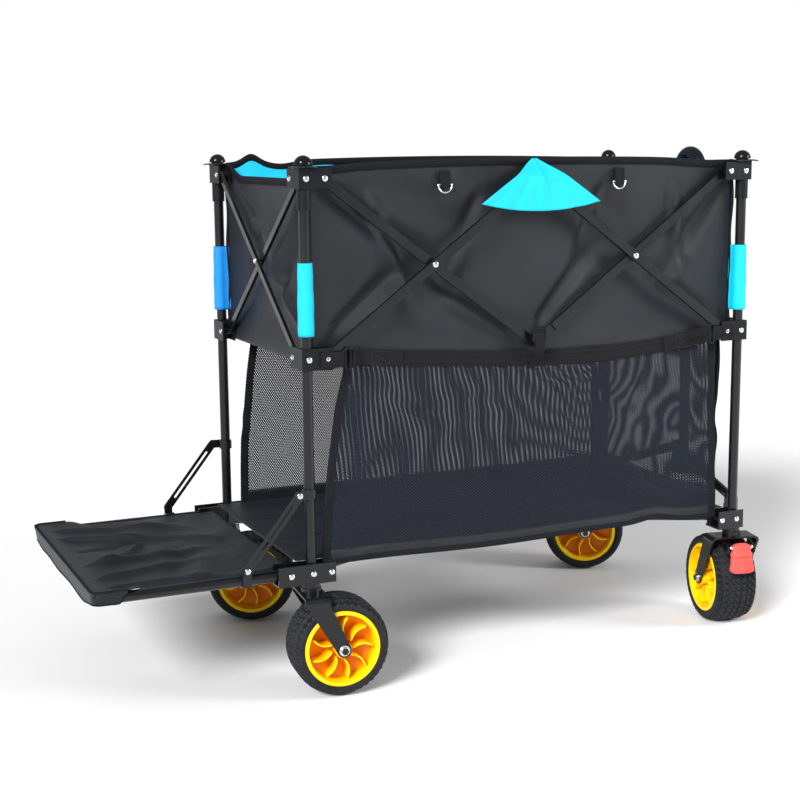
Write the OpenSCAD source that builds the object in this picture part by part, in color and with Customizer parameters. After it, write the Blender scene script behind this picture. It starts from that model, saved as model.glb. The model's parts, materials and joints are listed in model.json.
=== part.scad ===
// Folding double-decker beach cart: four posts joined by scissor frames, with swivelling wheels.
// X runs along the cart towards the handle, Y runs across it, and Z points up.
// "Front" is the handle end (+X) and "rear" is the tailgate end; "right" is the -Y side.

/* [Frame] */
// Horizontal reach of one scissor bar between its two end pivots
bar_reach = 416; // [340:2:500]
// Height of one scissor bar between its two end pivots
bar_rise = 308; // [260:2:370]
// Distance from a post's axis to the scissor pivots beside it
pivot_offset = 34; // [30:1:42]
// Height of the slider pivots above the base bracket centre
slider_height = 379; // [340:1:460]
// Outside diameter of the post tubes
post_d = 19; // [15:0.5:23]
// Wall of all round tubes
tube_wall = 1.2; // [0.8:0.1:2]

/* [Scissor bars] */
// Width of a side scissor bar, in its own plane
side_bar_w = 16; // [12:0.5:18]
// Thickness of a side scissor bar
side_bar_t = 8; // [6:0.5:8]
// Width of an end scissor bar, in its own plane
end_bar_w = 12; // [10:0.5:16]
// Thickness of an end scissor bar
end_bar_t = 6; // [5:0.5:8]
// Wall of the rectangular bars
bar_wall = 1.2; // [0.8:0.1:1.5]
// Diameter of the pivot rivets
rivet_d = 6; // [5:0.5:7]
// Diameter of a rivet's head
rivet_head_d = 11; // [9:0.5:13]

/* [Brackets] */
// Sheet thickness of the bracket cheeks
cheek_t = 3; // [2:0.5:3.5]
// Height of the upper corner brackets
cap_h = 34; // [28:1:40]
// Height of the sliders
slider_h = 38; // [32:1:44]
// Height of the base brackets
base_h = 36; // [30:1:40]
// Diameter of the domed knob on each post
knob_d = 32; // [28:1:38]
// Length of the collar under each upper bracket
collar_len = 36; // [20:1:45]

/* [Floor frame] */
// Width of a floor bar, seen from above
floor_bar_w = 10; // [8:0.5:12]
// Height of a floor bar
floor_bar_h = 18; // [14:0.5:18]
// Gap left between the tip of a floor bar and the centre of the cart
floor_tip_gap = 75; // [65:1:90]
// Diameter of the centre hub plate
hub_d = 180; // [170:1:200]
// Width of the hub plate across its two flat sides
hub_flat = 150; // [130:1:160]

/* [Handle] */
// Height of the handle links' base pivots above the base bracket centre
link_base_up = 29; // [27:1:36]
// Rise of the handle links from their base pivots to the apex
link_rise = 70; // [55:1:85]
// Outside diameter of the inner handle tube
handle_inner_d = 18; // [15:0.5:22]
// Height of the top of the handle grip above the ground
grip_top = 956; // [930:1:1000]
// Overall width of the handle grip
grip_w = 96; // [84:1:110]
// Overall height of the handle grip
grip_h = 98; // [88:1:120]
// Diameter of the gripped loop
grip_d = 26; // [22:1:30]

/* [Tailgate] */
// Length of the tailgate from its hinge to its outer edge
tailgate_len = 350; // [300:2:420]
// Distance from the rear posts' axes out to the tailgate hinge
hinge_out = 41; // [38:1:46]
// Distance from the hinge out to the stay's pivot on the tailgate tube
stay_out = 80; // [70:1:90]
// Height of the stay's pivot above the tailgate tube's axis
stay_up = 20; // [17:1:24]
// Height of the stay's upper end above the hinge
stay_top_up = 143; // [130:1:150]
// Width of the stay
stay_w = 16; // [14:0.5:18]

/* [Wheels] */
// Outside diameter of the tyres
wheel_d = 178; // [145:1:215]
// Width of the tyres
tyre_w = 84; // [60:1:90]
// Height of the tyre's section, from the rim's lip to the tread
tyre_h = 20; // [14:1:30]
// Clearance between a tyre and the top of its fork
fork_clearance = 6; // [4:0.5:12]
// Distance from the swivel axis back to the axle
caster_trail = 46; // [35:1:52]
// Diameter of the axle bolts
axle_d = 8; // [7:0.5:10]
// Heading of each caster's trail, in degrees from +X: rear right, rear left, front right, front left
headings = [-6, -20, 78, 155];

/* [Fabric] */
// Thickness of the fabric panels
cloth_t = 3; // [2:0.5:3]
// How far the floor of the upper box lies below the slider pivots
box_drop = 15; // [12:1:18]
// Width of the webbing straps on the sides
strap_w = 32; // [25:1:38]

/* [Hidden] */
// Radial clearance of a turning or sliding fit
fit = 0.05;
// Gap between faces of different bodies that pass each other
gap = 0.3;
// Clearance between parts fixed to each other
seat = 0.1;
$fn = 48;

// Space between a bar and what lies beside it on the same rivet
layer_gap = 1;
// Space that an inner tube slides in
slide_gap = 0.8;

// Sheet of the forks, and the two halves of the bearing between fork and bracket
fork_t = 4;
cup_h = 9;
race_h = 8;
base_z = wheel_d + fork_clearance + fork_t + cup_h + race_h + base_h / 2;
base_low = base_z - base_h / 2;
hx = bar_reach + pivot_offset;
hy = bar_reach / 2 + pivot_offset;
slider_z = base_z + slider_height;
cap_z = slider_z + bar_rise;
post_r = post_d / 2;
post_bottom = base_low + cheek_t;
cap_roof = 2;
cap_top = cap_z + cap_h / 2 + cap_roof;
post_top = cap_top - 2 * cap_roof;
post_len = post_top - post_bottom;
bar_len = sqrt(bar_reach * bar_reach + bar_rise * bar_rise);
bar_angle = atan(bar_rise / bar_reach);
// Distance of the two layers of bars from the middle of a bracket
layer = side_bar_t / 2 + layer_gap;
cheek_in = max(post_r + 0.5, layer + side_bar_t / 2 + layer_gap);
cheek_out = cheek_in + cheek_t;
arm_len = pivot_offset + 12;
// Length of the thin laps, so that two bars on one rivet can close to a narrow V
lap_reach = 3 * side_bar_w;
rivet_r = rivet_d / 2;
head_r = rivet_head_d / 2;
head_t = 1.6;

base_in = cheek_in + 3;
base_out = base_in + cheek_t;
// How far a base bracket runs into the cart past the floor bar's pivot
base_tail = 8;
floor_reach = bar_reach * sqrt(5) / 2;
floor_dir = atan(0.5);
floor_bar_len = floor_reach - floor_tip_gap;
floor_tab_t = floor_bar_w - 2 * bar_wall - 1.6;
clevis_t = 3;
floor_pin_r = 4;
clamp_h = 16;
ear_r = 8;
link_ear_r = 10;

wheel_r = wheel_d / 2;
rim_r = wheel_r - tyre_h;
fork_in = tyre_w / 2 + 4;
fork_out = fork_in + fork_t;
fork_top = base_low - race_h - cup_h;
fork_plate = 44;
king_r = 5;
king_head = 4;
// Axis of the brake lever, in front of the swivel axis and above the ground
brake_x = -44;
brake_z = wheel_d - 8;
brake_pin_r = 2.5;
brake_ear = 26;

link_t = 6;
link_w = 18;
link_y = bar_reach / 2;
link_z = base_z + link_base_up;
link_len = sqrt(link_y * link_y + link_rise * link_rise);
link_angle = atan(link_rise / link_y);
apex_z = link_z + link_rise;
link_left_x = hx + base_out;
link_right_x = link_left_x + link_t + gap;
handle_plate_x = link_right_x + link_t + gap;
handle_outer_r = handle_inner_d / 2 + slide_gap + tube_wall;
handle_x = handle_plate_x + handle_outer_r + 9;
handle_pivot_z = apex_z - 46;
handle_foot = 12;
// Locking collar on the outer tube, and the sleeve of the grip above it
lock_h = 20;
sleeve_h = 20;
sleeve_depth = 16;
handle_top_z = grip_top - grip_h - lock_h - 2;
sleeve_z = handle_top_z + lock_h + 2;

hinge_x = -hx - hinge_out;
stay_in = 23;
stay_dx = hinge_out - stay_in + stay_out;
stay_dz = stay_top_up - stay_up;
stay_len = sqrt(stay_dx * stay_dx + stay_dz * stay_dz);
stay_angle = atan(stay_dz / stay_dx);
stay_y = cheek_out + 0.8;
stay_t = 3;

box_x = hx - cheek_out - gap;
box_y = hy - cheek_out - gap;
box_floor_z = slider_z - box_drop;
// The rim lies level with the roofs of the corner brackets, less their thickness
box_top_z = cap_top - cap_roof;
floor_z = base_z + base_h / 2 + gap;
basket_bottom = floor_z + cloth_t + gap;

// ---- placing ----

// Moves a rear-right shaped piece to any corner: the piece's own +X and +Y point into the cart.
module at_corner(front, left) {
    translate([front ? hx : -hx, left ? hy : -hy, 0])
        mirror([front ? 1 : 0, 0, 0])
            mirror([0, left ? 1 : 0, 0])
                children();
}

// Turns a piece drawn on the right side into its twin on the left side.
module on_side(left) {
    mirror([0, left ? 1 : 0, 0]) children();
}

// ---- basic shapes ----

module rod(r, h) {
    cylinder(r = r, h = h);
}

// A cylinder along Y from y0 to y1.
module rod_y(r, y0, y1) {
    translate([0, y0, 0]) rotate([-90, 0, 0]) cylinder(r = r, h = y1 - y0);
}

// A cylinder along X from x0 to x1.
module rod_x(r, x0, x1) {
    translate([x0, 0, 0]) rotate([0, 90, 0]) cylinder(r = r, h = x1 - x0);
}

module tube(r, wall, h) {
    difference() {
        cylinder(r = r, h = h);
        translate([0, 0, -1]) cylinder(r = r - wall, h = h + 2);
    }
}

// A flat tab with round ends along X, from one centre at the origin to another at length.
module slot_plate(length, w, t) {
    linear_extrude(t) {
        circle(d = w);
        translate([0, -w / 2]) square([length, w]);
        translate([length, 0]) circle(d = w);
    }
}

// ---- posts ----

module post_tube() {
    translate([0, 0, post_bottom])
        difference() {
            tube(post_r, tube_wall, post_len);
            translate([0, 0, base_z - post_bottom]) rod_y(rivet_r + seat, -post_d, post_d);
        }
}

// Diagonal clevis that holds a floor bar, and the bracket's floor under it.
module floor_clevis() {
    lug_y = floor_tab_t / 2 + gap;
    lug_len = 40;
    translate([pivot_offset, pivot_offset, base_z])
        rotate([0, 0, floor_dir]) {
            for (side = [0, 1])
                mirror([0, side, 0])
                    translate([-lug_len, lug_y + clevis_t, 0])
                        rotate([90, 0, 0])
                            linear_extrude(clevis_t) {
                                translate([lug_len, 0]) circle(d = floor_bar_h);
                                translate([0, -base_h / 2]) square([lug_len, base_h / 2 + floor_bar_h / 2]);
                            }
            rod_y(floor_pin_r, -lug_y - clevis_t, lug_y + clevis_t);
        }
}

// Pressed channel under a post; outward is how far it runs past the post.
module base_channel(outward) {
    length = outward + pivot_offset + base_tail;
    for (y = [-base_out, base_in])
        translate([-outward, y, base_low]) cube([length, cheek_t, base_h]);
    translate([-outward, -base_out, base_low]) cube([length, 2 * base_out, cheek_t]);
    translate([0, 0, base_low])
        linear_extrude(cheek_t)
            polygon([[0, base_out - 1], [pivot_offset - base_tail, pivot_offset + 6],
                     [pivot_offset + base_tail, pivot_offset - 6], [pivot_offset + base_tail, base_out - 1]]);
    for (x = [0, pivot_offset])
        translate([x, 0, base_z]) {
            rod_y(rivet_r, -base_out, base_out);
            rod_y(head_r, -base_out - head_t, -base_out);
        }
}

// Bearing race and kingpin of the caster, under the bracket.
module kingpin() {
    head_z = fork_top - fork_t - king_head;
    translate([0, 0, base_low - race_h]) rod(base_out, race_h);
    translate([0, 0, head_z]) rod(king_r, base_low - head_z);
    translate([0, 0, head_z - gap]) rod(king_r + 4, king_head);
}

// Clamp with an ear beside a rear post that carries the upper end of the tailgate stay.
module stay_clamp() {
    translate([0, 0, base_z + stay_top_up]) {
        difference() {
            union() {
                translate([0, 0, -clamp_h / 2]) rod(post_r + 3, clamp_h);
                translate([-stay_in, -cheek_out, -clamp_h / 2]) cube([stay_in, cheek_t, clamp_h]);
                translate([-stay_in, 0, 0]) rod_y(ear_r, -cheek_out, -cheek_in);
            }
            translate([0, 0, -clamp_h]) rod(post_r + seat, 2 * clamp_h);
        }
    }
}

// Ears on a front base bracket that carry the base of a handle link.
module link_bracket(left) {
    inner = -base_out + gap;
    outer = -base_out - 2 * (link_t + gap) - cheek_t;
    w = 2 * link_ear_r;
    translate([0, pivot_offset, 0]) {
        translate([inner, -w / 2 - base_tail, base_low]) cube([cheek_t, w + base_tail + 2, base_h]);
        for (x = [inner, outer]) {
            translate([x, -w / 2, base_z]) cube([cheek_t, w, link_base_up]);
            translate([x, 0, link_z]) rod_x(link_ear_r, 0, cheek_t);
        }
        translate([outer, -w / 2, base_z]) cube([inner - outer + 1 - gap, w, cheek_t]);
        translate([0, 0, link_z]) {
            rod_x(rivet_r, outer - head_t, inner + cheek_t);
            rod_x(head_r, outer - head_t, outer);
            // spacer in the layer of the other side's link
            if (left)
                rod_x(rivet_r + 4, outer + cheek_t, -base_out - link_t - gap);
            else
                rod_x(rivet_r + 4, -base_out - link_t, inner);
        }
    }
}

module post(front, left) {
    color("#17181c")
        at_corner(front, left) {
            post_tube();
            difference() {
                union() {
                    base_channel(front ? base_out : hinge_out + 3 * base_tail);
                    floor_clevis();
                    if (front)
                        link_bracket(left);
                    if (!front)
                        translate([-hinge_out, 0, base_z]) {
                            rod_y(rivet_r + 1, -base_out, base_out);
                            rod_y(head_r, -base_out - head_t, -base_out);
                        }
                }
                // the post passes down into the channel
                difference() {
                    translate([0, 0, post_bottom]) rod(post_r + seat, base_h * 2);
                    translate([0, 0, base_z]) rod_y(rivet_r, -base_out, base_out);
                }
            }
            kingpin();
            if (!front)
                stay_clamp();
        }
}

// ---- corner brackets ----

// Two cheeks along +X from a post, with a pivot rivet; bar_layer is -1 outside, +1 inside.
module bracket_arm(h, bar_layer, bar_t) {
    for (y = [-cheek_out, cheek_in])
        translate([cheek_in, y, -h / 2]) cube([arm_len - cheek_in, cheek_t, h]);
    translate([pivot_offset, 0, 0]) {
        rod_y(rivet_r, -cheek_out, cheek_out);
        rod_y(head_r, -cheek_out - head_t, -cheek_out);
        // a shoulder fills the layer beside the bar
        inner = layer - bar_t / 2 - gap;
        outer = layer + bar_t / 2 + gap;
        if (bar_layer > 0)
            rod_y(rivet_r + 3, -cheek_in, inner);
        else
            rod_y(rivet_r + 3, -inner, cheek_in);
        if (outer < cheek_in && bar_layer > 0)
            rod_y(rivet_r + 3, outer, cheek_in);
        if (outer < cheek_in && bar_layer < 0)
            rod_y(rivet_r + 3, -cheek_in, -outer);
    }
}

// Bracket body with an arm for a side bar along +X and one for an end bar along +Y.
module corner_body(h, side_layer, end_layer) {
    translate([-cheek_out, -cheek_out, -h / 2]) cube([2 * cheek_out, 2 * cheek_out, h]);
    bracket_arm(h, side_layer, side_bar_t);
    mirror([1, -1, 0]) bracket_arm(h, end_layer, end_bar_t);
    rod_y(head_r, -cheek_out - head_t, -cheek_out);
}

// Which layer the end bar lies in at a corner: the bar that starts high on the right is inside.
function end_layer(left, upper) = (left != upper) ? 1 : -1;

module corner_cap(front, left) {
    color("#1b1c20")
        at_corner(front, left) {
            difference() {
                union() {
                    translate([0, 0, cap_z]) corner_body(cap_h, 1, end_layer(left, true));
                    translate([-cheek_out, -cheek_out, cap_z + cap_h / 2])
                        cube([2 * cheek_out, 2 * cheek_out, 2]);
                    translate([0, 0, cap_z - cap_h / 2 - collar_len]) rod(post_r + 2.5, collar_len);
                    translate([0, 0, cap_top]) rod(knob_d / 2 - 4, 5);
                    translate([0, 0, cap_top + 4])
                        difference() {
                            sphere(d = knob_d);
                            translate([0, 0, -knob_d]) cube([2 * knob_d, 2 * knob_d, 2 * knob_d], center = true);
                        }
                }
                translate([0, 0, cap_z - cap_h]) translate([0, 0, -collar_len])
                    rod(post_r + seat, post_top - cap_z + cap_h + collar_len + seat);
            }
        }
}

module slider(front, left) {
    color("#1e1f23")
        at_corner(front, left)
            translate([0, 0, slider_z])
                difference() {
                    corner_body(slider_h, -1, end_layer(left, false));
                    translate([0, 0, -slider_h]) rod(post_r + fit, 2 * slider_h);
                }
}

// ---- scissor bars ----

// A bar of rectangular tube along +X with a flat tab at each end; lap0 and lap1 say where each tab
// lies in the thickness: 0 whole tab in the middle, -1 outer half, +1 inner half.
module scissor_bar(w, t, lap0, lap1, pin_mid, pin1, reach) {
    half = t / 2 - gap / 2;
    start = lap0 == 0 ? w : lap_reach;
    stop = bar_len - (lap1 == 0 ? w : lap_reach);
    difference() {
        union() {
            translate([start, -t / 2, -w / 2])
                difference() {
                    cube([stop - start, t, w]);
                    translate([-1, bar_wall, bar_wall])
                        cube([stop - start + 2, t - 2 * bar_wall, w - 2 * bar_wall]);
                }
            bar_tab(0, w, t, half, lap0);
            bar_tab(bar_len, w, t, half, lap1);
            translate([bar_len / 2, 0, 0]) rod_y(rivet_r + 2, -t / 2, t / 2);
        }
        rod_y(rivet_r + fit, -t, t);
        if (!pin1)
            translate([bar_len, 0, 0]) rod_y(rivet_r + fit, -t, t);
        if (!pin_mid)
            translate([bar_len / 2, 0, 0]) rod_y(rivet_r + fit, -t, t);
    }
    if (pin_mid)
        translate([bar_len / 2, 0, 0]) {
            rod_y(rivet_r, -t / 2, reach);
            rod_y(head_r - 0.5, -t / 2 - head_t, -t / 2);
        }
    if (pin1)
        translate([bar_len, 0, 0]) {
            rod_y(rivet_r, -t / 2, t / 2);
            rod_y(head_r - 0.5, -t / 2 - head_t, -t / 2);
        }
}

// One flattened end of a bar, centred at x, reaching into the tube.
module bar_tab(x, w, t, half, lap) {
    y0 = lap > 0 ? t / 2 - half : -t / 2;
    y1 = lap < 0 ? -t / 2 + half : t / 2;
    inward = x > 0;
    length = (lap == 0 ? w : lap_reach) + 4;
    translate([x, y1, 0])
        rotate([90, 0, 0])
            linear_extrude(y1 - y0) {
                circle(d = w);
                translate([inward ? -length : 0, -w / 2]) square([length, w]);
            }
}

// Side bars are numbered from the rear: 1 and 3 lie inside, 2 and 4 outside.
module side_bar(left, number) {
    inside = number == 1 || number == 3;
    start_x = number <= 2 ? -bar_reach : 0;
    down = number == 1 || number == 4;
    start_z = down ? cap_z : slider_z;
    // laps where two bars share one rivet at mid length
    lap0 = number == 3 ? 1 : number == 4 ? 1 : 0;
    lap1 = number == 1 ? -1 : number == 2 ? -1 : 0;
    color("#1a1b1f")
        on_side(left)
            translate([start_x, -hy + (inside ? layer : -layer), start_z])
                rotate([0, down ? bar_angle : -bar_angle, 0])
                    scissor_bar(side_bar_w, side_bar_t, lap0, lap1, !inside, number <= 2,
                                2 * layer + side_bar_t / 2);
}

// End bars: 1 starts high on the right and lies inside, 2 starts low on the right and lies outside.
module end_bar(front, number) {
    x = (number == 1 ? -layer : layer) + hx;
    start_z = number == 1 ? cap_z : slider_z;
    color("#1a1b1f")
        mirror([front ? 0 : 1, 0, 0])
            translate([x, -bar_reach / 2, start_z])
                rotate([0, 0, 90])
                    rotate([0, number == 1 ? bar_angle : -bar_angle, 0])
                        scissor_bar(end_bar_w, end_bar_t, 0, 0, number == 2, false,
                                    2 * layer + end_bar_t / 2);
}

// ---- floor frame ----

module floor_bar(front, left) {
    w = floor_bar_h;
    color("#2b2d31")
        at_corner(front, left)
            translate([pivot_offset, pivot_offset, base_z])
                rotate([0, 0, floor_dir])
                    difference() {
                        union() {
                            translate([w, -floor_bar_w / 2, -w / 2])
                                difference() {
                                    cube([floor_bar_len - 2 * w, floor_bar_w, w]);
                                    translate([-1, bar_wall, bar_wall])
                                        cube([floor_bar_len, floor_bar_w - 2 * bar_wall, w - 2 * bar_wall]);
                                }
                            translate([0, floor_tab_t / 2, 0])
                                rotate([90, 0, 0])
                                    slot_plate(floor_bar_len, w, floor_tab_t);
                        }
                        rod_y(floor_pin_r + fit, -20, 20);
                        translate([floor_bar_len, 0, 0]) rod_y(rivet_r + fit, -20, 20);
                        // the tab is cut away inside the tube
                        translate([2 * w, -floor_bar_w / 2 + bar_wall, -w / 2 + bar_wall])
                            cube([floor_bar_len - 4 * w, floor_bar_w - 2 * bar_wall, w - 2 * bar_wall]);
                    }
}

module floor_hub() {
    low = base_z + floor_bar_h / 2 + gap;
    top = floor_z - gap;
    lug = floor_tab_t / 2 + gap;
    color("#222327") {
        intersection() {
            translate([0, 0, low]) rod(hub_d / 2, top - low);
            cube([hub_d, hub_flat, 4 * cap_z], center = true);
        }
        rotate([0, 0, floor_dir])
            translate([-floor_tip_gap, 0, base_z]) {
                for (side = [0, 1])
                    mirror([0, side, 0])
                        translate([0, lug + clevis_t, 0])
                            rotate([90, 0, 0])
                                linear_extrude(clevis_t) {
                                    circle(d = floor_bar_h - 4);
                                    translate([-floor_bar_h / 2 + 2, 0])
                                        square([floor_bar_h - 4, low - base_z + 1]);
                                }
                rod_y(rivet_r, -lug - clevis_t, lug + clevis_t);
            }
    }
}

// ---- handle ----

module handle_link(left) {
    color("#1a1b1f")
        on_side(left)
            translate([left ? link_left_x : link_right_x, -link_y, link_z])
                rotate([link_angle, 0, 0])
                    difference() {
                        rotate([90, 0, 90]) slot_plate(link_len, link_w, link_t);
                        rod_x(rivet_r + fit, -1, link_t + 1);
                        translate([0, link_len, 0]) rod_x(rivet_r + fit, -1, link_t + 1);
                    }
}

module handle_bracket() {
    r = handle_outer_r;
    low = handle_pivot_z - handle_foot;
    side_t = 3;
    side_h = 28;
    color("#1e1f23") {
        translate([handle_plate_x, 0, 0]) {
            translate([0, -r - 1 - side_t, low]) cube([cheek_t, 2 * (r + 1 + side_t), apex_z + 14 - low]);
            for (side = [0, 1])
                mirror([0, side, 0])
                    translate([0, r + 1, low]) cube([handle_x - handle_plate_x + 9, side_t, side_h]);
            translate([0, 0, apex_z]) rod_x(rivet_r, -link_t - gap, cheek_t);
            translate([0, 0, apex_z]) rod_x(head_r, cheek_t, cheek_t + head_t);
        }
        translate([handle_x, 0, handle_pivot_z]) rod_y(rivet_r, -r - 1 - side_t, r + 1 + side_t);
    }
}

module handle_outer_tube() {
    r = handle_outer_r;
    low = handle_pivot_z - handle_foot;
    color("#17181c")
        translate([handle_x, 0, 0]) {
            difference() {
                union() {
                    translate([0, 0, low]) tube(r, tube_wall, handle_top_z - low);
                    translate([0, 0, low]) tube(r - 0.4, r - rivet_r - fit - 0.4, 2 * handle_foot);
                }
                translate([0, 0, handle_pivot_z]) rod_y(rivet_r + fit, -r - 1, r + 1);
            }
            // locking collar at the mouth
            translate([0, 0, handle_top_z]) tube(r + 3, r + 3 - handle_inner_d / 2 - fit, lock_h);
        }
}

module handle_inner_tube() {
    low = handle_pivot_z + 40;
    color("#3a3c41")
        translate([handle_x, 0, low])
            tube(handle_inner_d / 2, tube_wall, sleeve_z + sleeve_depth - low);
}

// Closed loop on a sleeve; the hand goes through it above the sleeve.
module handle_grip() {
    loop_r = (grip_w - grip_d) / 2;
    loop_z = grip_top - grip_w / 2;
    bar_z = sleeve_z + sleeve_h;
    bar_r = 10;
    color("#101114")
        translate([handle_x, 0, 0]) {
            translate([0, 0, loop_z])
                rotate([90, 0, 90])
                    rotate_extrude(angle = 180, $fn = 72) translate([loop_r, 0]) circle(d = grip_d);
            for (side = [-1, 1])
                translate([0, side * loop_r, bar_z]) rod(grip_d / 2, loop_z - bar_z);
            difference() {
                union() {
                    translate([-grip_d / 2, 0, bar_z])
                        rotate([90, 0, 90])
                            linear_extrude(grip_d) {
                                translate([-loop_r, -bar_r]) square([2 * loop_r, 2 * bar_r]);
                                for (side = [-1, 1])
                                    translate([side * loop_r, 0]) circle(r = bar_r);
                            }
                    translate([0, 0, sleeve_z]) rod(handle_inner_d / 2 + 4, sleeve_h);
                }
                translate([0, 0, sleeve_z - 1]) rod(handle_inner_d / 2 + seat, sleeve_depth + seat + 1);
            }
        }
}

// ---- tailgate ----

module tailgate_tube(left) {
    r = post_r;
    plug_len = 30;
    color("#17181c")
        on_side(left)
            translate([hinge_x, -hy, base_z]) {
                difference() {
                    union() {
                        translate([-tailgate_len + 8, 0, 0])
                            rotate([0, 90, 0]) tube(r, tube_wall, tailgate_len - 20);
                        // solid hinge plug in the tube's inner end
                        rod_x(r, -plug_len, 9);
                        translate([-stay_out, 0, 0]) rod_x(r + 2.5, -9, 9);
                        translate([-stay_out - ear_r, -cheek_out, 0]) cube([2 * ear_r, cheek_t, stay_up]);
                        translate([-stay_out, 0, stay_up]) rod_y(ear_r, -cheek_out, -cheek_in);
                        translate([-stay_out - ear_r, -cheek_out, -r]) cube([2 * ear_r, cheek_out, r]);
                    }
                    rod_y(rivet_r + 1 + fit, -20, 20);
                    translate([-tailgate_len, 0, 0]) rod_x(r - tube_wall, 0, tailgate_len - plug_len);
                }
                translate([-stay_out, 0, stay_up]) {
                    rod_y(rivet_r, -stay_y - stay_t - gap, -cheek_out);
                    rod_y(head_r, -stay_y - stay_t - gap - head_t, -stay_y - stay_t - gap);
                }
            }
}

module tailgate_stay(left) {
    color("#1a1b1f")
        on_side(left)
            translate([hinge_x - stay_out, -hy - stay_y, base_z + stay_up])
                rotate([0, -stay_angle, 0]) {
                    difference() {
                        rotate([90, 0, 0]) slot_plate(stay_len, stay_w, stay_t);
                        rod_y(rivet_r + fit, -10, 10);
                        translate([26, 1, 0]) rotate([90, 0, 0]) slot_plate(stay_len - 48, 5, stay_t + 2);
                    }
                    translate([stay_len, 0, 0]) rod_y(head_r, -stay_t - head_t, -stay_t);
                }
}

// ---- casters ----

// Puts a caster piece, drawn with its trail along +X from the swivel axis, at its post.
module at_caster(front, left) {
    heading = headings[(front ? 2 : 0) + (left ? 1 : 0)];
    translate([front ? hx : -hx, left ? hy : -hy, 0]) rotate([0, 0, heading]) children();
}

// Outline of the folded fork seen along the trail: a channel with round bends.
module fork_section() {
    bend = 10;
    difference() {
        union() {
            translate([-fork_out, 0]) square([2 * fork_out, fork_top - bend]);
            translate([-fork_out + bend, 0]) square([2 * fork_out - 2 * bend, fork_top]);
            for (side = [-1, 1])
                translate([side * (fork_out - bend), fork_top - bend]) circle(r = bend);
        }
        translate([-fork_in, -1]) square([2 * fork_in, fork_top - bend + 1]);
        translate([-fork_in + bend - fork_t, -1])
            square([2 * (fork_in - bend + fork_t), fork_top - fork_t + 1]);
        for (side = [-1, 1])
            translate([side * (fork_out - bend), fork_top - bend]) circle(r = bend - fork_t);
    }
}

// Outline of the fork seen from the side: a wide plate on top, narrowing to a round eye at the axle.
module fork_side() {
    eye = 13;
    half = fork_plate / 2;
    polygon([[-half, fork_top + 1], [-half, fork_top - 10], [-half + 4, fork_top - 16],
             [caster_trail - eye * 0.94, wheel_r - eye * 0.35],
             [caster_trail + eye * 0.96, wheel_r + eye * 0.3],
             [half, fork_top - 14], [half, fork_top + 1]]);
    translate([caster_trail, wheel_r]) circle(r = eye);
}

module caster_fork(front, left) {
    corner = -fork_plate / 2 + 4;
    washer_t = 1.5;
    color("#1b1c20")
        at_caster(front, left) {
            difference() {
                union() {
                    intersection() {
                        translate([-100, 0, 0]) rotate([90, 0, 90]) linear_extrude(200) fork_section();
                        translate([0, 100, 0]) rotate([90, 0, 0]) linear_extrude(200) fork_side();
                    }
                    translate([0, 0, fork_top - 1]) rod(18, cup_h + 1 - gap);
                    if (front)
                        for (y = [-brake_ear, brake_ear + cheek_t])
                            translate([0, y, 0])
                                rotate([90, 0, 0])
                                    linear_extrude(cheek_t)
                                        polygon([[corner, fork_top - 1], [brake_x - 7, brake_z + 6],
                                                 [brake_x - 7, brake_z - 7], [brake_x + 8, brake_z - 7],
                                                 [corner, fork_top - 10]]);
                }
                translate([0, 0, fork_top - 20]) rod(king_r + fit, 40);
            }
            translate([caster_trail, 0, wheel_r]) {
                rod_y(axle_d / 2, -fork_out, fork_out);
                for (side = [-1, 1])
                    mirror([0, side > 0 ? 1 : 0, 0]) {
                        rod_y(axle_d / 2 + 3.5, -fork_out - washer_t, -fork_out);
                        translate([0, -fork_out - washer_t, 0])
                            rotate([90, 0, 0]) cylinder(r = axle_d / 2 + 2.6, h = 5, $fn = 6);
                    }
            }
            if (front)
                translate([brake_x, 0, brake_z]) rod_y(brake_pin_r, -brake_ear - 2, brake_ear + 2);
        }
}

// Rim turned from one closed outline: a barrel with a lip at each end, and a thin dish down to the hub.
module wheel_rim(front, left) {
    lip = rim_r;
    barrel = lip - 3;
    half = tyre_w / 2;
    dish = 12;
    hub_r = 15;
    color("#f7b21a")
        at_caster(front, left)
            translate([caster_trail, 0, wheel_r])
                rotate([90, 0, 0]) {
                    difference() {
                        union() {
                            rotate_extrude($fn = 96)
                                polygon([[barrel - 4, -half + 1], [lip - 1.5, -half + 1], [lip, -half + 2.5],
                                         [lip, -half + 4], [barrel, -half + 5], [barrel, half - 5],
                                         [lip, half - 4], [lip, half - 2.5], [lip - 1.5, half - 1],
                                         [barrel - 4, half - 1], [barrel - 7, dish], [hub_r + 12, 2],
                                         [hub_r, 2], [hub_r, -2], [hub_r + 12, -2], [barrel - 7, -dish]]);
                            translate([0, 0, -fork_in + 1]) cylinder(r = hub_r, h = 2 * fork_in - 2);
                            for (face = [0, 1])
                                mirror([0, 0, face])
                                    for (i = [0:8])
                                        rotate([0, 0, i * 40]) rim_rib(hub_r, barrel, half);
                        }
                        translate([0, 0, -100]) cylinder(r = axle_d / 2 + fit, h = 200);
                    }
                }
}

// One thin curved rib on a face of the rim, from the hub to the barrel.
module rim_rib(hub_r, barrel, half) {
    span = barrel - 5 - hub_r;
    bow = span * 0.62;
    intersection() {
        translate([hub_r + span / 2, -bow * 0.83, 0])
            difference() {
                cylinder(r = bow + 1.3, h = half - 6, $fn = 64);
                translate([0, 0, -1]) cylinder(r = bow - 1.3, h = half, $fn = 64);
            }
        translate([hub_r - 3, -1, 1]) cube([span + 5, bow, half - 6]);
    }
}

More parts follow.
